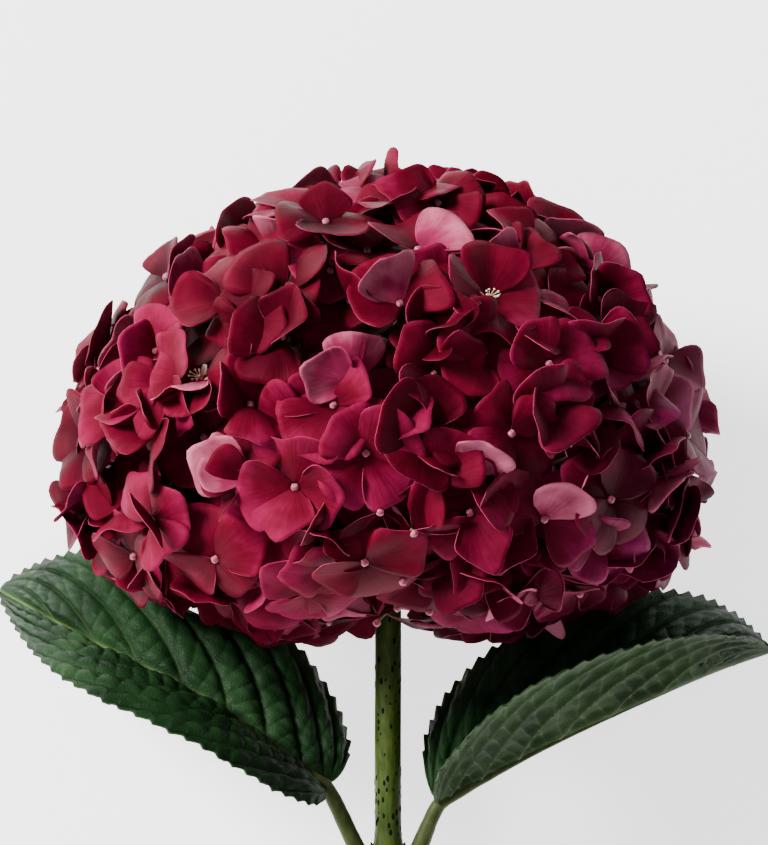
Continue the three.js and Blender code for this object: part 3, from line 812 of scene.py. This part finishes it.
def sepal_sheets():
    """Each sepal as it would open with nothing in its way: x across, y outwards, z up the axis."""
    u = np.linspace(-1, 1, SHEET_COLUMNS)[None, None]
    x = 0.985 * np.sin(1.25 * u) / math.sin(1.25)
    run = np.linspace(0, 1, SHEET_ROWS)[None, :, None] ** 0.95
    length = spread(*SEPAL_LENGTH)
    phi = np.radians(spread(*SEPAL_SPREAD)) * x
    square = np.where(u > 0, spread(0, 1), spread(0, 1))
    edge = mix(KITE, SQUARE, square) * (1 + spread(-0.07, 0.07) * x)
    cusp = np.where(spread(0, 1) < NOTCHED_SHARE, spread(-0.2, -0.06), spread(-0.02, 0.2))
    ragged = spread(-0.035, 0.035, (SEPALS, 1, SHEET_COLUMNS))
    edge = edge * (1 + cusp * np.exp(-((x / 0.2) ** 2)) + ragged)
    r = CLAW_START + (length * edge - CLAW_START) * run
    across, out = r * np.sin(phi) / length, r * np.cos(phi) / length
    inner_pair = (np.arange(SEPALS) % 2)[:, None, None]
    rise = np.radians(spread(*RISE) + INNER_RISE * inner_pair)
    rise = np.where(spread(0, 1) < UPRIGHT_SHARE, np.radians(spread(*UPRIGHT_RISE)), rise)
    # It arches along its middle and curls back at its tip, is cupped and creased across, waves
    # and twists, and each side of its hem turns up or down.
    up = 0.12 * out * (1 - out) - spread(-0.08, 0.3) * out ** 3
    crease = np.sqrt(across ** 2 + 0.003) - 0.055
    up = up + spread(-0.38, 0.26) * across ** 2 + spread(-0.3, 0.36) * crease
    wave = spread(0.015, 0.06) * np.sin(spread(2.5, 5.5) * phi * 2 + spread(0, 6))
    up = up + wave * (r / length) ** 2 + spread(-0.2, 0.2) * across * out
    hem = np.maximum(r / (length * edge) - spread(0.55, 0.85), 0) ** 2
    up = up + hem * (spread(-1.5, 1.0) * np.maximum(x, 0) + spread(-1.5, 1.0) * np.maximum(-x, 0))
    lying = out * np.cos(rise) - up * np.sin(rise)
    standing = out * np.sin(rise) + up * np.cos(rise)
    points = np.stack(np.broadcast_arrays(across, lying, standing), -1) * length[..., None]
    return points, np.broadcast_to(x, r.shape), np.broadcast_to(r / length, r.shape)


def close_pairs(points, reach):
    """Pairs of points nearer to each other than reach, found through a grid of cells."""
    cell = np.floor((points - points.min(0)) / reach).astype(np.int64) + 1
    size = cell.max(0) + 2
    key = (cell[:, 0] * size[1] + cell[:, 1]) * size[2] + cell[:, 2]
    order = np.argsort(key, kind="stable")
    keys = key[order]
    here = np.arange(len(points))
    found = []
    steps = [(a, b, c) for a in (0, 1) for b in (-1, 0, 1) for c in (-1, 0, 1) if (a, b, c) >= (0, 0, 0)]
    for a, b, c in steps:
        shift = (a * size[1] + b) * size[2] + c
        first = here + 1 if shift == 0 else np.searchsorted(keys, keys + shift, "left")
        count = np.maximum(np.searchsorted(keys, keys + shift, "right") - first, 0)
        start = np.repeat(first - (np.cumsum(count) - count), count)
        found.append(np.stack([order[np.repeat(here, count)], order[start + np.arange(count.sum())]]))
    first, second = np.concatenate(found, 1)
    gap = points[first] - points[second]
    distance = np.sqrt(np.einsum("ij,ij->i", gap, gap))
    near = distance < reach
    return first[near], second[near], distance[near]


def turn_by(omega, frames):
    """Turns frames, whose columns are axes, by a small rotation vector each."""
    angle = np.linalg.norm(omega, axis=-1)[:, None, None] + 1e-12
    k = omega[:, None] / angle
    columns = np.swapaxes(frames, 1, 2)
    turned = (columns * np.cos(angle) + np.cross(k, columns) * np.sin(angle)
              + k * (k * columns).sum(-1, keepdims=True) * (1 - np.cos(angle)))
    return np.swapaxes(turned, 1, 2)


def even_out(bend, share):
    """Moves each sheet's bending towards the mean of its neighbours along rows and columns."""
    padded = np.pad(bend, ((0, 0), (1, 1), (1, 1), (0, 0)), mode="edge")
    mean = (padded[:, 2:, 1:-1] + padded[:, :-2, 1:-1] + padded[:, 1:-1, 2:] + padded[:, 1:-1, :-2]) / 4
    return bend + share * (mean - bend)


CONTACT = 2.3  # how far apart two sheets' points keep
OWN_CONTACT = 0.28  # the same inside one floret, as a share of the distance from its eye
GROW_STEPS = 45
SETTLE_STEPS = 30
SMALLEST = 0.5  # a sepal's size when it starts to open, as a share
SLACK = 1.6  # how much further off a pair is still watched
STIFFNESS = 0.42
MEMORY = 0.025  # how hard a sepal is drawn back to the way it opened
EYE_PULL = 0.5  # how far an eye goes along with its sepals
EYE_SPRING = 0.08  # and how hard it is drawn back to its place
FURTHEST_EYE = 6.0
MIDDLE_SHARE = 0.4  # of the florets lie in a second layer behind the outer one
DEEP_FROM = 0.84  # the last share lies in a third, where it is this high above the surface
DEEP_ABOVE = 30.0
OUTER_DEPTH = (-7, -1)
MIDDLE_DEPTH = (-16, -8)
DEEP_DEPTH = (-34, -22)
EYE_AND_STALK = (1.0, -3.0, -7.0, -11.0)  # heights at which a bud and its stalk keep sepals off
OUTWARD_PUSH = 0.8  # how much of a push goes in or out of the head
PUSHED_FROM = 20.0  # outwards is from here, this far below the widest level
LONGEST_PUSH = 1.2
OUTLINE_PULL = 0.35  # the share of the way back to the outline in one step
EVENING = 0.6  # how much of a sheet's bending is shared with its neighbours
PROUD = 4.5  # how far sepals may stand out of the head's outline
PROUD_BELOW = 2.0
CROWN_HELD = 4.5  # and how much less at the crown
UNEVEN = 7.0  # and from floret to floret
STEM_NOTCH = 9.0  # how far the skirt is drawn in beside the stem
NOTCH_HALF = 16.0
STEM_CLEARANCE = 1.5
LIFT = 1.4  # above the surface


def bloom(sheets):
    """Opens every sepal from a small bud until it lies against its neighbours."""
    layer = grower.random(FLORETS)
    middle, outer = grower.uniform(*MIDDLE_DEPTH, FLORETS), grower.uniform(*OUTER_DEPTH, FLORETS)
    deep = np.where(layer < MIDDLE_SHARE, middle, outer)
    is_deep = (layer > DEEP_FROM) & (height_of(eyes) > DEEP_ABOVE)
    deep = np.where(is_deep, grower.uniform(*DEEP_DEPTH, FLORETS), deep)
    home = eyes + axes * deep[:, None]
    eye = home.copy()
    up = np.repeat(axes, 4, 0)
    out = directions.reshape(-1, 3)
    frames = np.stack([np.cross(out, up), out, up], -1)
    first_frames = frames.copy()
    shape = (SEPALS, -1, 3)
    rest = sheets.reshape(shape)
    count = rest.shape[1]
    reach_out = np.linalg.norm(rest, axis=-1)
    sepal = np.repeat(np.arange(SEPALS), count)
    pedicel = np.array(EYE_AND_STALK)
    floret = np.append(sepal // 4, np.repeat(np.arange(FLORETS), len(pedicel)))
    sepal = np.append(sepal, SEPALS + floret[len(sepal):])
    free = (sepal < SEPALS).astype(float)
    far = np.append(reach_out.ravel(), np.full(FLORETS * len(pedicel), 99.0))
    size = SMALLEST
    held_back = np.repeat(grower.uniform(0, UNEVEN, FLORETS), 4)[:, None]
    points = np.repeat(eye, 4, 0)[:, None] + rest * size @ np.swapaxes(frames, 1, 2)
    for step in range(GROW_STEPS + SETTLE_STEPS):
        size = mix(SMALLEST, 1, min(step / GROW_STEPS, 1))
        fixed = eye[:, None] + axes[:, None] * pedicel[:, None]
        everything = np.concatenate([points.reshape(-1, 3), fixed.reshape(-1, 3)])
        if step % 5 == 0:
            a, b, distance = close_pairs(everything, CONTACT + SLACK)
            own = floret[a] == floret[b]
            own_contact = size * OWN_CONTACT * np.minimum(far[a], far[b])
            apart = np.where(own, np.minimum(CONTACT, own_contact), CONTACT)
            keep = (sepal[a] != sepal[b]) & (distance < apart + SLACK) & ~(own & (free[a] + free[b] < 2))
            a, b, apart = a[keep], b[keep], apart[keep]
            share = free[a] / (free[a] + free[b] + 1e-9)
        gap = everything[a] - everything[b]
        distance = np.sqrt(np.einsum("ij,ij->i", gap, gap)) + 1e-9
        touching = np.flatnonzero(distance < apart)
        ta, tb = a[touching], b[touching]
        gap = gap[touching] / distance[touching, None]
        outward = unit(everything[ta] + [0, PUSHED_FROM, 0])
        side = np.sign((gap * outward).sum(1, keepdims=True))
        gap = unit(gap + OUTWARD_PUSH * side * outward)
        push = gap * ((apart[touching] - distance[touching]) * 0.5)[:, None]
        total = np.zeros_like(everything)
        for k in range(3):
            total[:, k] += np.bincount(ta, push[:, k] * share[touching], len(everything))
            total[:, k] -= np.bincount(tb, push[:, k] * (1 - share[touching]), len(everything))
        length = np.linalg.norm(total, axis=1, keepdims=True) + 1e-9
        total *= np.minimum(1, LONGEST_PUSH / length)
        points = points + total[:SEPALS * count].reshape(shape)
        stand = mix(PROUD_BELOW, PROUD, smooth_step(-25, 5, points[..., 1])) - held_back
        stand = stand - CROWN_HELD * smooth_step(45, 85, points[..., 1])
        by_stem = STEM_NOTCH * np.exp(-(points[..., 0] / NOTCH_HALF) ** 2) * (points[..., 1] < 0)
        scale = np.minimum(outline_scale(points, by_stem - stand), 1)
        points = points * mix(1, scale, OUTLINE_PULL)[..., None]
        sunk = np.maximum(LIFT - height_of(points), 0)
        points = points + sunk[..., None] * floor_normal
        aside = np.hypot(points[..., 0], points[..., 2])
        near_stem = (points[..., 1] < 0) & (aside < STEM_RADIUS + STEM_CLEARANCE)
        clear = np.where(near_stem, (STEM_RADIUS + STEM_CLEARANCE) / np.maximum(aside, 0.5), 1)
        points = points * np.stack([clear, np.ones_like(clear), clear], -1)
        centre = np.repeat(eye, 4, 0)[:, None]
        grown = rest * size
        for _ in range(2):
            spin = np.einsum("spi,spj->sij", points - centre, grown)
            lever = np.cross(np.swapaxes(frames, 1, 2), np.swapaxes(spin, 1, 2)).sum(1)
            match = np.abs(np.einsum("sij,sij->s", frames, spin))[:, None] + 1e-9
            frames = turn_by(lever / match, frames)
        goal = centre + grown @ np.swapaxes(frames, 1, 2)
        opened = centre + grown @ np.swapaxes(first_frames, 1, 2)
        bend = (points - goal).reshape(SEPALS, SHEET_ROWS, SHEET_COLUMNS, 3)
        bend = even_out(even_out(bend, EVENING), EVENING).reshape(shape)
        pull = total[:SEPALS * count].reshape(FLORETS, -1, 3).mean(1)
        points = goal + bend * (1 - STIFFNESS)
        points = points + MEMORY * (opened - points)
        eye = eye + EYE_PULL * pull + EYE_SPRING * (home - eye)
        away = eye - home
        strayed = np.linalg.norm(away, axis=1, keepdims=True) + 1e-9
        eye = home + away * np.minimum(1, FURTHEST_EYE / strayed)
    return points.reshape(SEPALS, SHEET_ROWS, SHEET_COLUMNS, 3), eye


sheets, crosswise, outwards = sepal_sheets()
sepals, eyes_now = bloom(sheets)

RIM_MARK, BACK_MARK = 0.5, 1.0  # what a sheet's faces carry as "side"; its front carries none
FLANK_ACROSS = 0.9  # florets turn violet and darker towards the right and the skirt: partly their own violet tint, partly painted shade on the side away from the key light
FLANK_ALONG = -0.45
FLANK_START = 0.02
FLANK_WIDTH = 0.085
RIM_PINK = (0.34, 0.035, 0.09, 1)

sepal_skin, tree, shader = new_material(
    "sepal_skin", Roughness=0.55, Specular_IOR_Level=0.09, Specular_Tint=(1.0, 0.12, 0.3, 1))
out = attribute(tree, "outwards")
side = attribute(tree, "side")
tint = attribute(tree, "tint")
here = add_node(tree, "ShaderNodeTexCoord").outputs["Object"]
place = add_node(tree, "ShaderNodeSeparateXYZ", {0: here})
blotches = stretched_noise(tree, (130, 130, 130), 2.0)
crosswise_here = attribute(tree, "crosswise")
vein_place = add_node(tree, "ShaderNodeCombineXYZ", {0: crosswise_here, 1: out, 2: tint})
vein_map = add_node(
    tree, "ShaderNodeMapping", {"Vector": vein_place.outputs[0], "Scale": (11.0, 1.6, 40.0)})
veins = add_node(tree, "ShaderNodeTexNoise", {
    "Vector": vein_map.outputs[0], "Scale": 1.0, "Detail": 3.0, "Roughness": 0.6}).outputs["Fac"]
shade = maths(tree, "MULTIPLY_ADD", blotches, 0.45, tint)
shade = maths(tree, "MULTIPLY_ADD", veins, 0.16, shade)
shade = maths(tree, "MULTIPLY_ADD", out, 0.28, shade)
front = colour_ramp(
    tree, shade, (0.3, 0.018, 0.0004, 0.003), (0.5, 0.045, 0.001, 0.005),
    (0.74, 0.105, 0.0025, 0.013), (0.98, 0.24, 0.007, 0.052))
back = colour_ramp(
    tree, shade, (0.3, 0.08, 0.002, 0.018), (0.55, 0.22, 0.015, 0.055), (0.85, 0.5, 0.13, 0.2))
# Partly painted shade: towards the right and the skirt, away from the key light, the front loses red and
# turns violet; the violet is partly the florets' own tint.
flank = maths(tree, "MULTIPLY_ADD", place.outputs[1], FLANK_ALONG, FLANK_START)
flank = maths(tree, "MULTIPLY_ADD", place.outputs[0], FLANK_ACROSS, flank)
violet_and_shade = add_node(
    tree, "ShaderNodeMapRange", {"Value": flank, "From Min": 0.0, "From Max": FLANK_WIDTH}).outputs[0]
bluer_and_shaded = mix_colours(tree, 1.0, front, (0.6, 0.9, 1.35, 1), "MULTIPLY")
front = mix_colours(tree, violet_and_shade, front, bluer_and_shaded)
skin = mix_colours(tree, maths(tree, "GREATER_THAN", side, 0.7), front, back)
rim = maths(tree, "COMPARE", side, RIM_MARK, 0.1)
tree.links.new(mix_colours(tree, rim, skin, RIM_PINK), shader.inputs["Base Color"])
relief(tree, shader, veins, 0.00018)


def marked(tree, geometry, name, value, domain="POINT", **selection):
    """The geometry with a value under this name on its points or on its chosen faces."""
    inputs = {0: geometry, "Name": name, "Value": value, **selection}
    return add_node(tree, "GeometryNodeStoreNamedAttribute", inputs, domain=domain).outputs[0]


tree, (sheet, thickness, ripple, seed, finish) = new_tree(
    "thin_sheet", Thickness="Float", Ripple="Float", Seed="Int", Material="Material")
smooth = add_node(tree, "GeometryNodeSubdivisionSurface", {"Mesh": sheet, "Level": 1}).outputs[0]
centred = maths(tree, "SUBTRACT", uneven(tree, 170.0, seed), 0.5)
height = maths(tree, "MULTIPLY", centred, point_field(tree, "outwards"))
height = maths(tree, "MULTIPLY", height, ripple)
normal = add_node(tree, "GeometryNodeInputNormal").outputs[0]
offset = scaled(tree, normal, height)
rippled = add_node(tree, "GeometryNodeSetPosition", {0: smooth, "Offset": offset}).outputs[0]
walls = add_node(tree, "GeometryNodeExtrudeMesh", {
    "Mesh": rippled, "Offset Scale": thickness, "Individual": False})
front_and_rim = marked(
    tree, walls.outputs["Mesh"], "side", RIM_MARK, "FACE", Selection=walls.outputs["Side"])
turned_over = add_node(tree, "GeometryNodeFlipFaces", {0: rippled}).outputs[0]
joined = add_node(tree, "GeometryNodeJoinGeometry")
tree.links.new(front_and_rim, joined.inputs[0])
tree.links.new(marked(tree, turned_over, "side", BACK_MARK, "FACE"), joined.inputs[0])
welded = add_node(
    tree, "GeometryNodeMergeByDistance", {0: joined.outputs[0], "Distance": 0.00001}).outputs[0]
not_rim = add_node(tree, "FunctionNodeCompare", {
    0: point_field(tree, "side"), 1: RIM_MARK, "Epsilon": 0.1},
    data_type="FLOAT", operation="NOT_EQUAL").outputs[0]
close_tree(tree, welded, finish, not_rim)
sheet_tree = tree

TINT, TINT_VARIES = 0.145, 0.1  # how pale a floret is
SEPAL_RIPPLE = 0.0016

tints = np.clip(grower.normal(TINT, TINT_VARIES, FLORETS), 0, 0.5)
sheet_faces = grid_faces(SHEET_ROWS, SHEET_COLUMNS)
per_sheet = SHEET_ROWS * SHEET_COLUMNS
sepal_cluster = np.repeat(cluster_of, 4)
sepal_tint = np.repeat(tints, 4) + grower.uniform(-0.04, 0.04, SEPALS)
for k, node in enumerate(cluster_nodes):
    mine = np.flatnonzero(sepal_cluster == k)
    faces = np.concatenate([sheet_faces + j * per_sheet for j in range(len(mine))])
    piece = new_object("sepals" + node[-3:], laid(sepals[mine].reshape(-1, 3)), faces, [])
    point_values(piece, "crosswise", crosswise[mine])
    point_values(piece, "outwards", outwards[mine])
    point_values(piece, "tint", np.repeat(sepal_tint[mine], per_sheet))
    grow(piece, sheet_tree, Thickness=SEPAL_THICKNESS / 1000, Ripple=SEPAL_RIPPLE, Seed=k,
         Material=sepal_skin)
    hand_over(piece, "sepals", node)

# ------------------------------------------------------------------ buds in the eyes
# Each floret has a small bead of a bud in its eye, closed along four seams, on the tip of its
# stalk. One bead is repeated, turned along its floret.
BUD_WIDTH = 2.4
BUD_SINK = 0.3

bud_skin, tree, shader = new_material("bud_skin", Roughness=0.5, Sheen_Weight=0.2)
seam = attribute(tree, "seam")
bud_colour = colour_ramp(
    tree, seam, (0.0, 0.24, 0.01, 0.05), (0.3, 0.4, 0.06, 0.12), (1.0, 0.56, 0.17, 0.22))
tree.links.new(bud_colour, shader.inputs["Base Color"])

tree, (spots, width, finish) = new_tree("buds", Width="Float", Material="Material")
ball = add_node(tree, "GeometryNodeMeshUVSphere", {"Segments": 10, "Rings": 6, "Radius": 0.5}).outputs[0]
where = add_node(tree, "GeometryNodeInputPosition").outputs[0]
parts = add_node(tree, "ShaderNodeSeparateXYZ", {0: where})
lobe = maths(tree, "MULTIPLY", parts.outputs[0], parts.outputs[1])
lobe = maths(tree, "MULTIPLY", maths(tree, "ABSOLUTE", lobe), 8.0)
seamed = marked(tree, ball, "seam", lobe)
shaped = scaled(tree, where, maths(tree, "MULTIPLY_ADD", lobe, 0.13, 0.9))
bead = add_node(tree, "GeometryNodeSetPosition", {0: seamed, "Position": shaped}).outputs[0]
axis = point_field(tree, "axis", "FLOAT_VECTOR")
aside = point_field(tree, "aside", "FLOAT_VECTOR")
turned = add_node(tree, "FunctionNodeAxesToRotation", {
    "Primary Axis": axis, "Secondary Axis": aside},
    primary_axis="Z", secondary_axis="X").outputs[0]
beads = add_node(tree, "GeometryNodeInstanceOnPoints", {
    "Points": spots, "Instance": bead, "Rotation": turned, "Scale": width}).outputs[0]
close_tree(tree, beads, finish)


def point_directions(piece, name, vectors):
    """A direction of the flower's frame for each of a mesh's points."""
    layer = piece.data.attributes.new(name, "FLOAT_VECTOR", "POINT")
    layer.data.foreach_set("vector", (vectors @ flower_axes).astype(np.float32).ravel())


buds = new_object("buds", laid(eyes_now + axes * (BUD_WIDTH / 2 - BUD_SINK)), [], [])
point_directions(buds, "axis", axes)
point_directions(buds, "aside", directions[:, 0])
grow(buds, tree, Width=BUD_WIDTH / 1000, Material=bud_skin)
hand_over(buds, "sepals")

# ------------------------------------------------------------------ open flowers
# In three florets the bud has opened into a tiny cream flower: five petals in a star, and a ring
# of stamens, each a hair-thin filament with a bead of an anther on its tip.
OPEN_AT = ((-50, 25), (28, 50), (48, 1))  # where they are, across and up the front of the head
PETAL_LENGTH = 3.1
PETAL_HALF_WIDTH = 1.15
PETAL_THICKNESS = 0.25
PETALS = 5
STAMENS = 8
STAMEN_LENGTH = 3.6
STAMEN_REACH = 1.9
# A stamen's girths from its foot to the tip of its anther, and where along it they are.
STAMEN_GIRTH = (0.13, 0.11, 0.1, 0.1, 0.3, 0.36, 0.2)
STAMEN_STEPS = (0, 0.3, 0.6, 0.86, 0.9, 0.95, 1.0)
PETAL_ROWS = 5
PETAL_COLUMNS = 5

cream, _, _ = new_material("cream_petals", Base_Color=(0.72, 0.46, 0.36, 1), Roughness=0.6)
pollen, _, _ = new_material("pollen", Base_Color=(0.8, 0.66, 0.4, 1), Roughness=0.7)

petals, filaments = [], []
along = np.linspace(0, 1, PETAL_ROWS)[:, None]
beside = np.linspace(-1, 1, PETAL_COLUMNS)[None]
half = PETAL_HALF_WIDTH * np.sin(math.pi * (0.1 + 0.8 * along)) ** 0.7
lift = 0.9 * along ** 0.6 + 0.5 * beside ** 2 * along
for at in OPEN_AT:
    facing = eyes_now[:, 2] - 3 * np.linalg.norm(eyes_now[:, :2] - at, axis=1)
    here = int(facing.argmax())
    up, first = axes[here], directions[here, 0]
    second = np.cross(up, first)
    for k in range(PETALS):
        turn = 2 * math.pi * k / PETALS
        out = first * math.cos(turn) + second * math.sin(turn)
        aside = np.cross(up, out)
        petals.append(eyes_now[here] + (0.8 + PETAL_LENGTH * along)[..., None] * out
                      + (half * beside)[..., None] * aside + (lift + 0.6)[..., None] * up)
    for k in range(STAMENS):
        turn = 2 * math.pi * (k + 0.5) / STAMENS
        out = first * math.cos(turn) + second * math.sin(turn)
        t = np.array(STAMEN_STEPS)[:, None]
        length = STAMEN_LENGTH * (0.8 + 0.2 * math.sin(5 * k))
        path = eyes_now[here] + up * (1.0 + length * t) + out * STAMEN_REACH * t ** 1.5
        filaments.append((path, STAMEN_GIRTH))
petals = np.array(petals)
petal_faces = grid_faces(PETAL_ROWS, PETAL_COLUMNS)
per_petal = PETAL_ROWS * PETAL_COLUMNS
faces = np.concatenate([petal_faces + j * per_petal for j in range(len(petals))])
star = new_object("open_flowers", laid(petals.reshape(-1, 3)), faces, [])
point_values(star, "outwards", np.zeros(len(petals) * per_petal))
grow(star, sheet_tree, Thickness=PETAL_THICKNESS / 1000, Ripple=0.0, Seed=1, Material=cream)
hand_over(star, "sepals")
hand_over(twigs("stamens", filaments, pollen, sides=6), "sepals")

# ------------------------------------------------------------------ rays, stalks and pedicels
# Eight fleshy rays leave the top of the stem in crossed pairs, fork, and carry the clusters. In a
# cluster a short stalk divides into one thin pedicel for each floret.
RAY_GIRTH = (2.0, 1.5)
FORK_GIRTH = (1.4, 1.0)
STALK_GIRTH = (1.0, 0.9)
PEDICEL_GIRTH = (0.75, 0.5)
FORK_AT = 0.5  # the share of the way to its clusters at which a ray forks
JUNCTION_AT = 0.4  # and of the way to its florets at which a stalk divides
RAY_SAG = 4.8
PEDICEL_BOW = 0.16  # how far a pedicel bows, as a share of its length
PEDICEL_STEPS = 9

stalk_skin, tree, shader = new_material("stalk_skin", Roughness=0.6)
blush = stretched_noise(tree, (90, 90, 90))
blush_colour = colour_ramp(
    tree, blush, (0.35, 0.2, 0.12, 0.05), (0.5, 0.3, 0.13, 0.08), (0.65, 0.34, 0.05, 0.06))
tree.links.new(blush_colour, shader.inputs["Base Color"])


def bent(start, end, bow, steps, girth):
    """A path from start to end that bows towards a side, with its girth at each point."""
    t = np.linspace(0, 1, steps)[:, None]
    path = mix(np.asarray(start), end, t) + np.asarray(bow) * 4 * t * (1 - t)
    return path, mix(*girth, t[:, 0])


ray_nodes = sorted(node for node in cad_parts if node.startswith("ray"))
ray_corners = [upright(solid_of(node)[0]) for node in ray_nodes]
feet = []
for node in cluster_nodes:
    corners = upright(solid_of(node)[0])
    feet.append(corners[np.linalg.norm(corners - [0, STEM_TOP_Y, 0], axis=1).argmin()])
feet = np.array(feet)
to_rays = [[np.linalg.norm(c - foot, axis=1).min() for c in ray_corners] for foot in feet]
ray_of = np.array(to_rays).argmin(1)
for k, (node, corners) in enumerate(zip(ray_nodes, ray_corners)):
    root = corners[np.hypot(corners[:, 0], corners[:, 2]).argmin()]
    carried = np.flatnonzero(ray_of == k)
    if not len(carried):
        continue
    fork = mix(root, feet[carried].mean(0), FORK_AT)
    outward = unit(np.array([fork[0], 0, fork[2]]))
    sag = np.array([0, -RAY_SAG, 0])
    paths = [bent([0, root[1], 0] + outward * 2, fork, sag, 14, RAY_GIRTH)]
    for j in carried:
        paths.append(bent(fork, feet[j], sag * 0.5, 9, FORK_GIRTH))
        mine = np.flatnonzero(cluster_of == j)
        junction = mix(feet[j], eyes_now[mine].mean(0), JUNCTION_AT)
        paths.append(bent(feet[j], junction, sag * 0.2, 5, STALK_GIRTH))
        for f in mine:
            span = np.linalg.norm(eyes_now[f] - junction)
            tip = eyes_now[f] - axes[f] * 0.2
            path, girth = bent(junction, tip, [0, 0, 0], PEDICEL_STEPS, PEDICEL_GIRTH)
            t = np.linspace(0, 1, PEDICEL_STEPS)[:, None]
            path = path - axes[f] * (PEDICEL_BOW * span * 4 * t ** 2 * (1 - t))
            paths.append((path, girth))
    piece = twigs("stalks_of_" + node, paths, stalk_skin, sides=7)
    hand_over(piece, "stalks", node)
